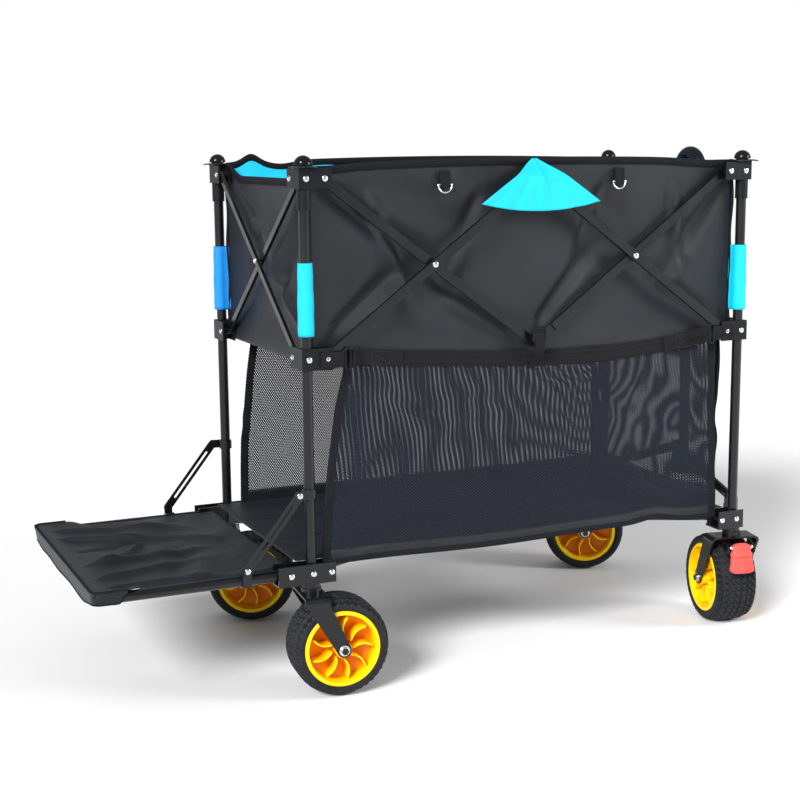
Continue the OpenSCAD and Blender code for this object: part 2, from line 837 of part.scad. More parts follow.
module tyre(front, left) {
    bead = rim_r + gap;
    half = tyre_w / 2;
    section = wheel_r - bead;
    wall = section * 0.44;
    color("#1c1c1e")
        at_caster(front, left)
            translate([caster_trail, 0, wheel_r])
                rotate([90, 0, 0])
                    rotate_extrude($fn = 96)
                        polygon([[bead - 3, -half + 5.6], [bead + 0.2, -half + 4.4], [bead + 0.2, -half + 2],
                                 [bead + section / 4, -half], [bead + wall, -half],
                                 [wheel_r - section / 4, -half + 3], [wheel_r - section / 12, -half + 10],
                                 [wheel_r, -half + 18], [wheel_r, half - 18],
                                 [wheel_r - section / 12, half - 10], [wheel_r - section / 4, half - 3],
                                 [bead + wall, half], [bead + section / 4, half], [bead + 0.2, half - 2],
                                 [bead + 0.2, half - 4.4],
                                 [bead - 3, half - 5.6]]);
}

module brake_lever(left) {
    blade_w = 2 * brake_ear - 4;
    color("#ee5a55")
        at_caster(true, left)
            translate([brake_x, 0, brake_z])
                difference() {
                    union() {
                        rod_y(brake_pin_r + 3.5, -brake_ear + 0.5, brake_ear - 0.5);
                        translate([0, blade_w / 2, 0])
                            rotate([90, 0, 0])
                                linear_extrude(blade_w)
                                    polygon([[-6, 0], [6, 0], [-4, -20], [-8, -44], [-14, -45], [-15, -24],
                                             [-11, -10]]);
                    }
                    rod_y(brake_pin_r + fit, -brake_ear, brake_ear);
                }
}

// ---- fabric ----

// Open box of five panels; the corners of its rim are level with the corner brackets' tops.
module upper_box() {
    height = box_top_z - box_floor_z;
    color("#16181f")
        difference() {
            translate([-box_x, -box_y, box_floor_z]) cube([2 * box_x, 2 * box_y, height]);
            translate([-box_x + cloth_t, -box_y + cloth_t, box_floor_z + cloth_t])
                cube([2 * (box_x - cloth_t), 2 * (box_y - cloth_t), height]);
        }
}

// Mesh walls of the lower deck: two long sides and the front end; the rear end is open.
module lower_basket() {
    top = box_floor_z - gap;
    color("#2c2f33")
        translate([0, 0, basket_bottom])
            difference() {
                translate([-box_x, -box_y, 0]) cube([2 * box_x, 2 * box_y, top - basket_bottom]);
                translate([-box_x - 1, -box_y + cloth_t, -1])
                    cube([2 * box_x - cloth_t + 1, 2 * (box_y - cloth_t), top - basket_bottom + 2]);
            }
}

// Floor cloth, clear of the walls, from the front wall to the tailgate.
module lower_floor() {
    rear = hx + hinge_out - 17;
    front = box_x - cloth_t - gap;
    half = box_y - cloth_t - 1;
    color("#14161c")
        translate([-rear, -half, floor_z]) cube([rear + front, 2 * half, cloth_t]);
}

module tailgate_fabric() {
    pocket = 62;
    r = post_r + gap;
    wide = hy - base_out - 1;
    lip = cloth_t;
    color("#16181f")
        translate([hinge_x, 0, base_z])
            difference() {
                union() {
                    translate([-tailgate_len, -wide, post_r + gap]) cube([tailgate_len + 3, 2 * wide, cloth_t]);
                    translate([-tailgate_len, -hy - r - lip, -r - lip])
                        cube([pocket, 2 * (hy + r + lip), 2 * (r + lip)]);
                }
                translate([-tailgate_len + lip, -hy + r + lip, -r - lip - 1])
                    cube([pocket, 2 * (hy - r - lip), 2 * r + lip + 1]);
                for (y = [-hy, hy])
                    translate([0, y, 0]) rod_x(r, -tailgate_len + 7, 10);
            }
}

// A webbing strap along each side at the level of the sliders, with holes for the rivet heads.
module side_straps() {
    end = bar_reach + 14;
    strap_t = 1.5;
    color("#1f2024")
        for (left = [false, true])
            on_side(left)
                translate([0, -hy - cheek_out - gap, slider_z])
                    difference() {
                        translate([-end, -strap_t, -strap_w / 2]) cube([2 * end, strap_t, strap_w]);
                        for (x = [-bar_reach, bar_reach])
                            translate([x, 0, 0]) rod_y(head_r + gap, -strap_t - 1, 1);
                    }
}

// Four D-rings, each hanging from a short webbing tab under the rim.
module d_rings() {
    ring_r = 13;
    wire = 1.8;
    place = 180;
    drop = 32;
    color("#b9bcc0")
        for (left = [false, true])
            for (x = [-place, place])
                on_side(left)
                    translate([x, -box_y - gap - wire, box_top_z - drop]) {
                        rotate([90, 0, 0])
                            rotate([0, 0, 180])
                                rotate_extrude(angle = 180, $fn = 48) translate([ring_r, 0]) circle(r = wire);
                        rod_x(wire, -ring_r, ring_r);
                    }
}

post(false, false);  // post_rear_right
post(false, true);  // post_rear_left
post(true, false);  // post_front_right
post(true, true);  // post_front_left
corner_cap(false, false);  // corner_cap_rear_right
corner_cap(false, true);  // corner_cap_rear_left
corner_cap(true, false);  // corner_cap_front_right
corner_cap(true, true);  // corner_cap_front_left
slider(false, false);  // slider_rear_right
slider(false, true);  // slider_rear_left
slider(true, false);  // slider_front_right
slider(true, true);  // slider_front_left
side_bar(false, 1);  // side_bar_right_1
side_bar(false, 2);  // side_bar_right_2
side_bar(false, 3);  // side_bar_right_3
side_bar(false, 4);  // side_bar_right_4
side_bar(true, 1);  // side_bar_left_1
side_bar(true, 2);  // side_bar_left_2
side_bar(true, 3);  // side_bar_left_3
side_bar(true, 4);  // side_bar_left_4
end_bar(false, 1);  // end_bar_rear_1
end_bar(false, 2);  // end_bar_rear_2
end_bar(true, 1);  // end_bar_front_1
end_bar(true, 2);  // end_bar_front_2
floor_bar(false, false);  // floor_bar_rear_right
floor_bar(false, true);  // floor_bar_rear_left
floor_bar(true, false);  // floor_bar_front_right
floor_bar(true, true);  // floor_bar_front_left
floor_hub();
handle_link(false);  // handle_link_right
handle_link(true);  // handle_link_left
handle_bracket();
handle_outer_tube();
handle_inner_tube();
handle_grip();
tailgate_tube(false);  // tailgate_tube_right
tailgate_tube(true);  // tailgate_tube_left
tailgate_stay(false);  // tailgate_stay_right
tailgate_stay(true);  // tailgate_stay_left
caster_fork(false, false);  // caster_fork_rear_right
caster_fork(false, true);  // caster_fork_rear_left
caster_fork(true, false);  // caster_fork_front_right
caster_fork(true, true);  // caster_fork_front_left
wheel_rim(false, false);  // wheel_rim_rear_right
wheel_rim(false, true);  // wheel_rim_rear_left
wheel_rim(true, false);  // wheel_rim_front_right
wheel_rim(true, true);  // wheel_rim_front_left
tyre(false, false);  // tyre_rear_right
tyre(false, true);  // tyre_rear_left
tyre(true, false);  // tyre_front_right
tyre(true, true);  // tyre_front_left
brake_lever(false);  // brake_lever_right
brake_lever(true);  // brake_lever_left
upper_box();
lower_basket();
lower_floor();
tailgate_fabric();
side_straps();
d_rings();
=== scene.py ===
"""Folding double-decker beach cart: its cloth, nets, webbing, tyres and finishes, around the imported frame.

X runs along the cart towards the handle, Y across it and Z up, in metres, with z = 0 on the ground.
"""

import json
import math

import bpy
import numpy as np
from mathutils import Matrix, Vector


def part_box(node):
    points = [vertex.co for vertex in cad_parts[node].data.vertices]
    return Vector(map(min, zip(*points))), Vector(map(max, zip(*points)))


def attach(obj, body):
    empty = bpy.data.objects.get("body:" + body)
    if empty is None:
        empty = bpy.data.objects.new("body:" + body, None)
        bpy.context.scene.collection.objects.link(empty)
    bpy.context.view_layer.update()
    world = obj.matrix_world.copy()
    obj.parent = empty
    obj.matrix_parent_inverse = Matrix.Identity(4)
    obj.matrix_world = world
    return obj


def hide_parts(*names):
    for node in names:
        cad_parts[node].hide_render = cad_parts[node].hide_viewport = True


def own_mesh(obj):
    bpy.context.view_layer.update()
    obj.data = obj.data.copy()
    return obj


bl_info = {
    "name": "Beach cart",
    "version": (1, 0, 0),
    "blender": (4, 5, 0),
    "location": "View3D > Sidebar > Beach cart",
    "description": "Cloth, mesh, webbing, tyres and finishes of a folding beach cart",
    "category": "Object",
}

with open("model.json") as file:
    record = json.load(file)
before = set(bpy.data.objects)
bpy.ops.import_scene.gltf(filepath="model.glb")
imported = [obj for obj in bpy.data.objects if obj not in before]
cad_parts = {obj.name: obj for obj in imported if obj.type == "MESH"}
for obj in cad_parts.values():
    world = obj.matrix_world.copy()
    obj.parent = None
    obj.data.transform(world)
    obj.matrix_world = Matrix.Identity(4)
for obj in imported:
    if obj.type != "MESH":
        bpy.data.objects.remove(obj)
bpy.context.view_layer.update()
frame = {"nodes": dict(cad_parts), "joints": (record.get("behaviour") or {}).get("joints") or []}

# ---- places read from the frame, and sizes given beside them ----

MM = 0.001
TAU = 2 * math.pi
joints = {joint["name"]: joint for joint in frame["joints"]}
KNOB_R = 16 * MM
cap_low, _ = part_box("corner_cap_rear_right")
POST_X, POST_Y = -(cap_low.x + KNOB_R), -(cap_low.y + KNOB_R)
slider_low, slider_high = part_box("slider_rear_right")
SLIDER_Z = (slider_low.z + slider_high.z) / 2
box_low, box_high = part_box("upper_box")
basket_low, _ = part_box("lower_basket")
floor_low, floor_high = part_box("lower_floor")
gate_low, gate_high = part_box("tailgate_fabric")
strap_low, strap_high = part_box("side_straps")
# from a post's middle to the pivot of the bars beside it
PIVOT_IN = 34 * MM
BAR_REACH = POST_X - PIVOT_IN
# the bars' upper pivots above the sliders' pivots, and the caps' tops above those
BAR_RISE = 308 * MM
CAP_Z = SLIDER_Z + BAR_RISE
CAP_ROOF = 19 * MM
CAP_TOP = CAP_Z + CAP_ROOF
# height of the base brackets' pivots, which is the tailgate's hinge too
BASE_Z = joints["tailgate"]["pos_m"][2]
# half widths of the caps, the sliders and the base brackets, out to their side faces
CHEEK = 13 * MM
BASE_CHEEK = 16 * MM
# the stays' own flat heads are this thick
HEAD_T = 1.6 * MM
# from the rear posts' middle out to the tailgate's hinge
HINGE_OUT = 41 * MM
# the stays' pivots above the tailgate's hinge: on the tube and on the post, and in from the stay's ends
STAY_LOW, STAY_HIGH, STAY_END = 20 * MM, 143 * MM, 8 * MM
# the bars' faces and the end bars' faces beyond the posts' middle
SIDE_FACE, END_FACE = 9 * MM, 8 * MM
# the four corners, with their signs along X and Y
CORNERS = {
    "rear_right": (-1, -1),
    "rear_left": (-1, 1),
    "front_right": (1, -1),
    "front_left": (1, 1),
}


# ---- settings that a user would change ----


class CartClothSettings(bpy.types.PropertyGroup):
    """Sizes and colours of the cloth."""

    cloth: bpy.props.StringProperty(name="Cloth", description="Colour of the outer cloth", default="#15181F")
    lining: bpy.props.StringProperty(name="Lining", description="Colour of the lining", default="#00C6E6")
    # The rear left post's wrap has its own darker, bluer copy of the lining colour, which is painted shade.
    painted_shade_wrap: bpy.props.StringProperty(
        name="Painted shade wrap", description="Colour of the rear left post's wrap", default="#0C8CE6"
    )
    thickness: bpy.props.FloatProperty(
        name="Thickness", description="Thickness of the cloth", default=1.2 * MM, subtype="DISTANCE"
    )
    rim_rise: bpy.props.FloatProperty(
        name="Rim rise", description="Rise of the long rims at mid length", default=9 * MM, subtype="DISTANCE"
    )
    end_dip: bpy.props.FloatProperty(
        name="End dip", description="Dip of the end rims at mid width", default=24 * MM, subtype="DISTANCE"
    )
    binding: bpy.props.FloatProperty(
        name="Binding", description="Height of the tape on the rims", default=12 * MM, subtype="DISTANCE"
    )
    fold_depth: bpy.props.FloatProperty(
        name="Fold depth", description="Depth of the folds in the walls", default=9 * MM, subtype="DISTANCE"
    )


class CartMeshSettings(bpy.types.PropertyGroup):
    """The open net of the lower deck."""

    net: bpy.props.StringProperty(name="Net", description="Colour of the net", default="#1C2028")
    pitch: bpy.props.FloatProperty(
        name="Pitch", description="Distance from hole to hole", default=6.5 * MM, subtype="DISTANCE"
    )


class CartWheelSettings(bpy.types.PropertyGroup):
    """Sizes and colours of the wheels."""

    rim: bpy.props.StringProperty(name="Rim", description="Colour of the rims", default="#FFD20A")
    # the orange deep in the rims is painted shade in the dish
    rim_painted_shade: bpy.props.StringProperty(
        name="Rim painted shade", description="Colour deep in the rims", default="#F79600"
    )
    rubber: bpy.props.StringProperty(name="Rubber", description="Colour of the tyres", default="#1A1B1E")
    groove: bpy.props.FloatProperty(
        name="Groove", description="Depth of the tread grooves", default=3.4 * MM, subtype="DISTANCE"
    )
    blocks: bpy.props.IntProperty(
        name="Blocks", description="Tread blocks round the tyre", default=40, min=20, max=60
    )


class CartFinishSettings(bpy.types.PropertyGroup):
    """Colours of the frame, the brackets and the small parts."""

    coat: bpy.props.StringProperty(name="Powder coat", description="Colour of the steel", default="#0C0D10")
    nylon: bpy.props.StringProperty(name="Nylon", description="Colour of the brackets", default="#121317")
    brake: bpy.props.StringProperty(name="Brake", description="Colour of the brake levers", default="#F5504A")


# ---- small helpers ----


def colour(code):
    """A hex sRGB colour as linear RGBA."""
    parts = [int(code[i : i + 2], 16) / 255 for i in (1, 3, 5)]
    linear = [c / 12.92 if c <= 0.04045 else ((c + 0.055) / 1.055) ** 2.4 for c in parts]
    return (*linear, 1.0)


def node(tree, kind, inputs=(), **settings):
    """A node of a kind with its settings; inputs maps a socket to a value or to another socket."""
    made = tree.nodes.new(kind)
    for key, value in settings.items():
        setattr(made, key, value)
    for socket, value in dict(inputs).items():
        if isinstance(value, bpy.types.NodeSocket):
            tree.links.new(value, made.inputs[socket])
        else:
            made.inputs[socket].default_value = value
    return made


def new_material(name, **numbers):
    """A material with one Principled shader whose plain numbers are set on its own sockets."""
    made = bpy.data.materials.new(name)
    made.use_nodes = True
    shader = made.node_tree.nodes["Principled BSDF"]
    for key, value in numbers.items():
        shader.inputs[key.replace("_", " ")].default_value = value
    return made, made.node_tree, shader


def smooth_step(x):
    """0 below 0, 1 above 1, and a smooth S between them."""
    x = np.clip(x, 0, 1)
    return x * x * (3 - 2 * x)


def grid(points, wrap=(False, False)):
    """A quad patch over points [rows, columns, 3]; wrap joins the last row or column to the first.

    Its UV is the length run along the columns and along the rows, in metres.
    """
    rows, columns = points.shape[:2]
    row, column = np.meshgrid(
        np.arange(rows - (not wrap[0])), np.arange(columns - (not wrap[1])), indexing="ij"
    )
    down, right = (row + 1) % rows, (column + 1) % columns
    quads = np.stack(
        [row * columns + column, row * columns + right, down * columns + right, down * columns + column], -1
    ).reshape(-1, 4)
    across = np.linalg.norm(np.diff(points, axis=1), axis=2).mean(0)
    along = np.linalg.norm(np.diff(points, axis=0), axis=2).mean(1)
    u = np.concatenate([[0], np.cumsum(across)])
    v = np.concatenate([[0], np.cumsum(along)])
    uv = np.stack(np.meshgrid(u, v), -1)
    return points.reshape(-1, 3), quads.tolist(), uv.reshape(-1, 2)


def turned(patch):
    """The patch with its faces pointing the other way."""
    points, faces, uv = patch
    return points, [face[::-1] for face in faces], uv


def capped(patch, columns, rows):
    """A tube of wrapped columns closed by one face at each end."""
    points, faces, uv = patch
    first = list(range(columns))
    last = [(rows - 1) * columns + i for i in range(columns)]
    return points, faces + [first[::-1], last], uv


def join(patches):
    """Several patches as one."""
    points, faces, uv, count = [], [], [], 0
    for patch in patches:
        points.append(patch[0])
        uv.append(patch[2])
        faces += [[i + count for i in face] for face in patch[1]]
        count += len(patch[0])
    return np.concatenate(points), faces, np.concatenate(uv)


def piece(name, patches, material, body, shell=None, lining=None, sharp=None):
    """A mesh object made of patches, with its faces outwards, riding on a body.

    shell gives a sheet its thickness by Solidify; lining is the material of its inner side.
    """
    points, faces, uv = join(patches)
    mesh = bpy.data.meshes.new(name)
    mesh.from_pydata(points.tolist(), [], faces)
    layer = mesh.uv_layers.new(name="cut")
    corner = np.zeros(len(mesh.loops), np.int32)
    mesh.loops.foreach_get("vertex_index", corner)
    layer.data.foreach_set("uv", uv[corner].astype(np.float32).ravel())
    mesh.materials.append(material)
    if lining:
        mesh.materials.append(lining)
    mesh.shade_smooth()
    if sharp:
        mesh.set_sharp_from_angle(angle=math.radians(sharp))
    made = bpy.data.objects.new(name, mesh)
    bpy.context.scene.collection.objects.link(made)
    if shell:
        solid = made.modifiers.new("thickness", "SOLIDIFY")
        solid.thickness = shell
        solid.offset = -1
        solid.use_even_offset = False
        if lining:
            solid.material_offset = 1
    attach(made, body)
    return made


def sweep(path, section, up=(0, 0, 1), closed=False):
    """A closed section [n, 2] (side, up) carried along a path [m, 3]; side is the path's right hand."""
    path = np.asarray(path, float)
    section = np.asarray(section, float)
    if closed:
        tangent = np.roll(path, -1, 0) - np.roll(path, 1, 0)
    else:
        tangent = np.gradient(path, axis=0)
    tangent /= np.linalg.norm(tangent, axis=1, keepdims=True)
    up = np.broadcast_to(np.asarray(up, float), path.shape)
    side = np.cross(tangent, up)
    side /= np.linalg.norm(side, axis=1, keepdims=True)
    lift = np.cross(side, tangent)
    points = path[:, None] + side[:, None] * section[None, :, :1] + lift[:, None] * section[None, :, 1:]
    patch = grid(points, wrap=(closed, True))
    return patch if closed else capped(patch, len(section), len(path))


def lathe(profile, centre, axis, sides=32):
    """A profile [n, 2] of (radius, height) turned about an axis; ends on the axis are closed by a face."""
    axis = Vector(axis).normalized()
    first = axis.orthogonal().normalized()
    second = axis.cross(first)
    angle = np.linspace(0, TAU, sides, endpoint=False)
    ring = np.outer(np.cos(angle), first) + np.outer(np.sin(angle), second)
    profile = np.asarray(profile, float)
    points = (
        np.asarray(centre, float)
        + profile[:, None, :1] * ring[None]
        + profile[:, None, 1:] * np.asarray(axis)[None, None]
    )
    return capped(grid(points, wrap=(False, True)), sides, len(profile))


def ring_section(radius, sides=10):
    """A circle's points as a section."""
    angle = np.linspace(0, TAU, sides, endpoint=False)
    return np.stack([radius * np.cos(angle), radius * np.sin(angle)], 1)


def flat_section(width, height, round_off=0.3):
    """A flat strip's section with softened corners, as a superellipse of width and height."""
    angle = np.linspace(0, TAU, 20, endpoint=False)
    cosine, sine = np.cos(angle), np.sin(angle)
    return np.stack(
        [
            width / 2 * np.sign(cosine) * np.abs(cosine) ** round_off,
            height / 2 * np.sign(sine) * np.abs(sine) ** round_off,
        ],
        1,
    )


def soft_folds(a, b, seed, low=0.10, high=0.34, count=7):
    """Cloth folds over two lengths in metres: warped sine ridges of seeded directions, about -1 to 1."""
    random = np.random.RandomState(seed)
    warp = 0.03 * np.sin(TAU * (a / 0.31 + random.rand())) + 0.03 * np.sin(TAU * (b / 0.27 + random.rand()))
    total = np.zeros_like(a)
    for _ in range(count):
        turn = random.uniform(0, math.pi)
        length = random.uniform(low, high)
        phase = random.uniform(0, 1)
        run = (a + warp) * math.cos(turn) + (b + warp) * math.sin(turn)
        ridge = np.sin(TAU * (run / length + phase))
        total += ridge * np.abs(ridge) ** 0.5 * length
    return total / (count * (low + high) / 2) * 2.2


def creases(a, b, lines):
    """Straight creases: for each (a0, b0, a1, b1, width, height), a ridge that fades at both ends."""
    total = np.zeros_like(a)
    for a0, b0, a1, b1, width, height in lines:
        length = math.hypot(a1 - a0, b1 - b0)
        ta, tb = (a1 - a0) / length, (b1 - b0) / length
        run = ((a - a0) * ta + (b - b0) * tb) / length
        off = (a - a0) * tb - (b - b0) * ta
        spread = width * (0.5 + np.clip(run, 0, 1.2))
        fade = smooth_step(run * 5) * smooth_step((1 - run) * 2.5)
        total += height * np.exp(-((off / spread) ** 2)) * fade
    return total


# ---- materials ----


def maths(tree, operation, *values):
    """The result of one sum on sockets or numbers."""
    return node(tree, "ShaderNodeMath", dict(enumerate(values)), operation=operation).outputs[0]


def spread_of(tree, value, low, high, to_low, to_high):
    """A socket's value carried from low..high to to_low..to_high, and held there beyond them."""
    return node(tree, "ShaderNodeMapRange", {0: value, 1: low, 2: high, 3: to_low, 4: to_high}).outputs[0]


def noise_at(tree, place, scale, detail=2.0, roughness=0.5):
    """Noise from 0 to 1 at a place, with its scale in cells per metre."""
    inputs = {"Vector": place, "Scale": scale, "Detail": detail, "Roughness": roughness}
    return node(tree, "ShaderNodeTexNoise", inputs).outputs[0]


def object_place(tree):
    """The place on the object, in metres."""
    return node(tree, "ShaderNodeTexCoord").outputs["Object"]


def cut_place(tree):
    """The place on the flat cut, in metres."""
    return node(tree, "ShaderNodeUVMap", uv_map="cut").outputs[0]


def wave_product(tree, kind, steps):
    """The product of two waves on the cut's lengths: kind is SINE or COSINE, and steps are their lengths in metres."""
    split = node(tree, "ShaderNodeSeparateXYZ", {0: cut_place(tree)})
    waves = []
    for i, step in enumerate(steps):
        waves.append(maths(tree, kind, maths(tree, "MULTIPLY", split.outputs[i], TAU / step)))
    return maths(tree, "MULTIPLY", *waves)


def tint_by(tree, shader, base, value):
    """Sets the base colour, with its lightness multiplied by a socket's value."""
    tint = node(tree, "ShaderNodeHueSaturation", {"Color": colour(base), "Value": value})
    tree.links.new(tint.outputs[0], shader.inputs["Base Color"])


def bump_by(tree, shader, height, strength, distance):
    """Bumps the surface by a socket's value."""
    bump = node(tree, "ShaderNodeBump", {"Strength": strength, "Distance": distance, "Height": height})
    tree.links.new(bump.outputs[0], shader.inputs["Normal"])


def woven(name, base, thread=1.5 * MM, roughness=0.42, sheen=0.03, spread=0.3):
    """Woven polyester, such as 600-denier oxford: a fine grid of threads, a soft sheen and faint cloudy wear.

    The threads are 0.5 mm on the real cloth and are drawn three times coarser, so that they show. Over and under
    come from the product of two sines.
    """
    made, tree, shader = new_material(
        name, Roughness=roughness, Sheen_Weight=sheen, Sheen_Roughness=0.45, Specular_IOR_Level=0.35
    )
    shader.inputs["Sheen Tint"].default_value = colour("#AEB6C8")
    cloud = noise_at(tree, object_place(tree), 9.0, 5.0, 0.6)
    tint_by(tree, shader, base, spread_of(tree, cloud, 0.3, 0.7, 1 - spread, 1 + spread))
    bump_by(tree, shader, wave_product(tree, "SINE", (thread, thread)), 0.45, 0.4 * MM)
    return made


def knitted_net(name, base, pitch, crosswise=False):
    """Warp-knitted polyester net: open diamond holes between thin yarns, so that light passes through.

    The holes are where the product of two cosines is above the yarn's share. A crosswise net has its long step
    the other way.
    """
    made, tree, shader = new_material(name, Roughness=0.6, Specular_IOR_Level=0.12)
    shader.inputs["Base Color"].default_value = colour(base)
    steps = (pitch * 0.7, pitch) if crosswise else (pitch, pitch * 0.8)
    yarn = spread_of(tree, wave_product(tree, "COSINE", steps), 0.46, 0.72, 1.0, 0.0)
    tree.links.new(yarn, shader.inputs["Alpha"])
    bump_by(tree, shader, yarn, 0.4, 0.4 * MM)
    return made


def ribbed_webbing(name, base):
    """Woven polypropylene webbing: hard ribs across its width with fine picks along it, dull and dark."""
    made, tree, shader = new_material(name, Roughness=0.7, Specular_IOR_Level=0.12)
    grain = noise_at(tree, cut_place(tree), 900.0)
    tint_by(tree, shader, base, spread_of(tree, grain, 0.3, 0.7, 0.5, 1.6))
    bump_by(tree, shader, wave_product(tree, "SINE", (2.4 * MM, 1.6 * MM)), 0.8, 0.4 * MM)
    return made


def powder_coat(name, base, roughness=0.3):
    """Powder-coated steel: near-black paint with a fine orange-peel skin, faint dust and a clear highlight."""
    made, tree, shader = new_material(name, Specular_IOR_Level=0.3, Coat_Weight=0.3, Coat_Roughness=0.1)
    place = object_place(tree)
    dust = noise_at(tree, place, 16.0, 6.0, 0.7)
    rough = spread_of(tree, dust, 0.35, 0.7, roughness - 0.06, roughness + 0.14)
    tree.links.new(rough, shader.inputs["Roughness"])
    tint_by(tree, shader, base, spread_of(tree, dust, 0.4, 0.75, 0.8, 1.4))
    bump_by(tree, shader, noise_at(tree, place, 420.0), 0.12, 0.2 * MM)
    return made


def moulded_nylon(name, base, polished_above=None, roughness=0.42):
    """Injection-moulded nylon: dark and lightly grained; above a height it is polished, as on the knobs."""
    made, tree, shader = new_material(name, Specular_IOR_Level=0.2)
    place = object_place(tree)
    cloud = noise_at(tree, place, 22.0, 4.0)
    tint_by(tree, shader, base, spread_of(tree, cloud, 0.35, 0.7, 0.85, 1.4))
    bump_by(tree, shader, noise_at(tree, place, 650.0, 3.0), 0.16, 0.2 * MM)
    if polished_above:
        height = node(tree, "ShaderNodeSeparateXYZ", {0: place}).outputs[2]
        rough = spread_of(tree, height, polished_above, polished_above + MM, roughness, 0.14)
        tree.links.new(rough, shader.inputs["Roughness"])
    else:
        shader.inputs["Roughness"].default_value = roughness
    return made


def moulded_rim(name, base, deep, centre, axis):
    """Injection-moulded polypropylene: saturated yellow with a soft gloss, and orange painted shade deep in the dish.

    The depth is how far a point is from the wheel's middle plane, with a little noise added; deep is the colour of the
    painted shade.
    """
    made, tree, shader = new_material(name, Roughness=0.3, Subsurface_Weight=0.08, Specular_IOR_Level=0.25)
    shader.inputs["Subsurface Radius"].default_value = (0.006, 0.003, 0.001)
    place = object_place(tree)
    away = node(tree, "ShaderNodeVectorMath", {0: place, 1: tuple(centre)}, operation="SUBTRACT").outputs[0]
    along = node(tree, "ShaderNodeVectorMath", {0: away, 1: tuple(axis)}, operation="DOT_PRODUCT")
    size = maths(tree, "ABSOLUTE", along.outputs["Value"])
    wander = maths(tree, "MULTIPLY_ADD", noise_at(tree, place, 60.0, 3.0), 0.008, size)
    # share of the yellow: 0 deep in the dish, where the orange painted shade is, and 1 out towards the lip
    share = spread_of(tree, wander, 0.012, 0.034, 0.0, 1.0)
    mix = node(tree, "ShaderNodeMix", {0: share, 6: colour(deep), 7: colour(base)}, data_type="RGBA")
    tree.links.new(mix.outputs[2], shader.inputs["Base Color"])
    bump_by(tree, shader, noise_at(tree, place, 500.0), 0.08, 0.2 * MM)
    return made


def tyre_rubber(name, base):
    """Moulded foam rubber: deep grey-black, matt, with a faint cloudy bloom of dust."""
    made, tree, shader = new_material(name, Specular_IOR_Level=0.25)
    place = object_place(tree)
    dust = noise_at(tree, place, 30.0, 6.0)
    tint_by(tree, shader, base, spread_of(tree, dust, 0.35, 0.75, 0.8, 2.0))
    tree.links.new(spread_of(tree, dust, 0.3, 0.7, 0.5, 0.75), shader.inputs["Roughness"])
    bump_by(tree, shader, noise_at(tree, place, 700.0), 0.3, 0.3 * MM)
    return made


def plated_steel(name, base, roughness=0.22):
    """Zinc- or nickel-plated steel: bright, and a little cloudy from handling."""
    made, tree, shader = new_material(name, Metallic=1.0)
    cloud = noise_at(tree, object_place(tree), 240.0, 4.0)
    rough = spread_of(tree, cloud, 0.3, 0.7, roughness - 0.08, roughness + 0.12)
    tint_by(tree, shader, base, spread_of(tree, cloud, 0.3, 0.7, 0.9, 1.05))
    tree.links.new(rough, shader.inputs["Roughness"])
    return made


made_materials = {}


def finish_of(name):
    """The shared material of a name, made the first time it is asked for."""
    scene = bpy.context.scene
    cloth, net = scene.cart_cloth, scene.cart_mesh
    wheel, parts = scene.cart_wheels, scene.cart_finish
    recipes = {
        "oxford_cloth": lambda: woven("oxford_cloth", cloth.cloth),
        "lining_cloth": lambda: woven("lining_cloth", cloth.lining, roughness=0.5, sheen=0.0, spread=0.06),
        # the rear left post's wrap is a darker, bluer copy of the lining: painted shade
        "shaded_wrap_cloth": lambda: woven(
            "shaded_wrap_cloth", cloth.painted_shade_wrap, roughness=0.5, sheen=0.0, spread=0.08
        ),
        "binding_tape": lambda: ribbed_webbing("binding_tape", "#1A1B20"),
        "webbing": lambda: ribbed_webbing("webbing", "#1C1C1F"),
        "knitted_net": lambda: knitted_net("knitted_net", net.net, net.pitch),
        "crosswise_net": lambda: knitted_net("crosswise_net", net.net, net.pitch, crosswise=True),
        "powder_coat": lambda: powder_coat("powder_coat", parts.coat),
        "grey_paint": lambda: powder_coat("grey_paint", "#3A3B3F", 0.36),
        "moulded_nylon": lambda: moulded_nylon("moulded_nylon", parts.nylon),
        "knob_nylon": lambda: moulded_nylon("knob_nylon", parts.nylon, polished_above=CAP_TOP + 4 * MM),
        "grip_plastic": lambda: moulded_nylon("grip_plastic", "#111319", roughness=0.18),
        "brake_plastic": lambda: moulded_nylon("brake_plastic", parts.brake, roughness=0.34),
        "tyre_rubber": lambda: tyre_rubber("tyre_rubber", wheel.rubber),
        "plated_steel": lambda: plated_steel("plated_steel", "#DADCE0"),
    }
    if name not in made_materials:
        made_materials[name] = recipes[name]()
    return made_materials[name]


def paint_node(name, material):
    """Gives a CAD node one material."""
    slots = frame["nodes"][name].data.materials
    slots.clear()
    slots.append(material)


# ---- the fabric box ----

BOX_X, BOX_Y = box_high.x, box_high.y
RIM_Z = CAP_TOP + 1.5 * MM
LONG_COLUMNS, END_COLUMNS, WALL_ROWS = 150, 80, 60


def side_of(left):
    """A long side's name, the body that its cloth rides on, and its outward sign along Y."""
    return ("left", "post_rear_left", 1) if left else ("right", "post_rear_right", -1)


def long_rim(x, left):
    """Height of a long wall's rim: level with the knobs' feet at the corners, highest at mid length."""
    share = (x + BOX_X) / (2 * BOX_X)
    rise = bpy.context.scene.cart_cloth.rim_rise * np.sin(np.pi * share) ** 0.8
    wave = 3 * MM * np.exp(-(((x + 0.40) / 0.05) ** 2)) + 3.5 * MM * np.exp(-(((x - 0.37) / 0.06) ** 2))
    if left:
        # the far rim kinks up beside the rear post and sags after it
        kink = 15 * MM * np.exp(-(((x + 0.385) / 0.022) ** 2)) - 7 * MM * np.exp(-(((x + 0.32) / 0.035) ** 2))
        return RIM_Z + rise * 0.9 + kink
    return RIM_Z + rise - wave


def end_rim(y):
    """Height of an end wall's rim: it hangs from the corners in a shallow flat-bottomed curve."""
    share = np.abs(y) / BOX_Y
    return RIM_Z - bpy.context.scene.cart_cloth.end_dip * (1 - smooth_step((share - 0.55) / 0.45))


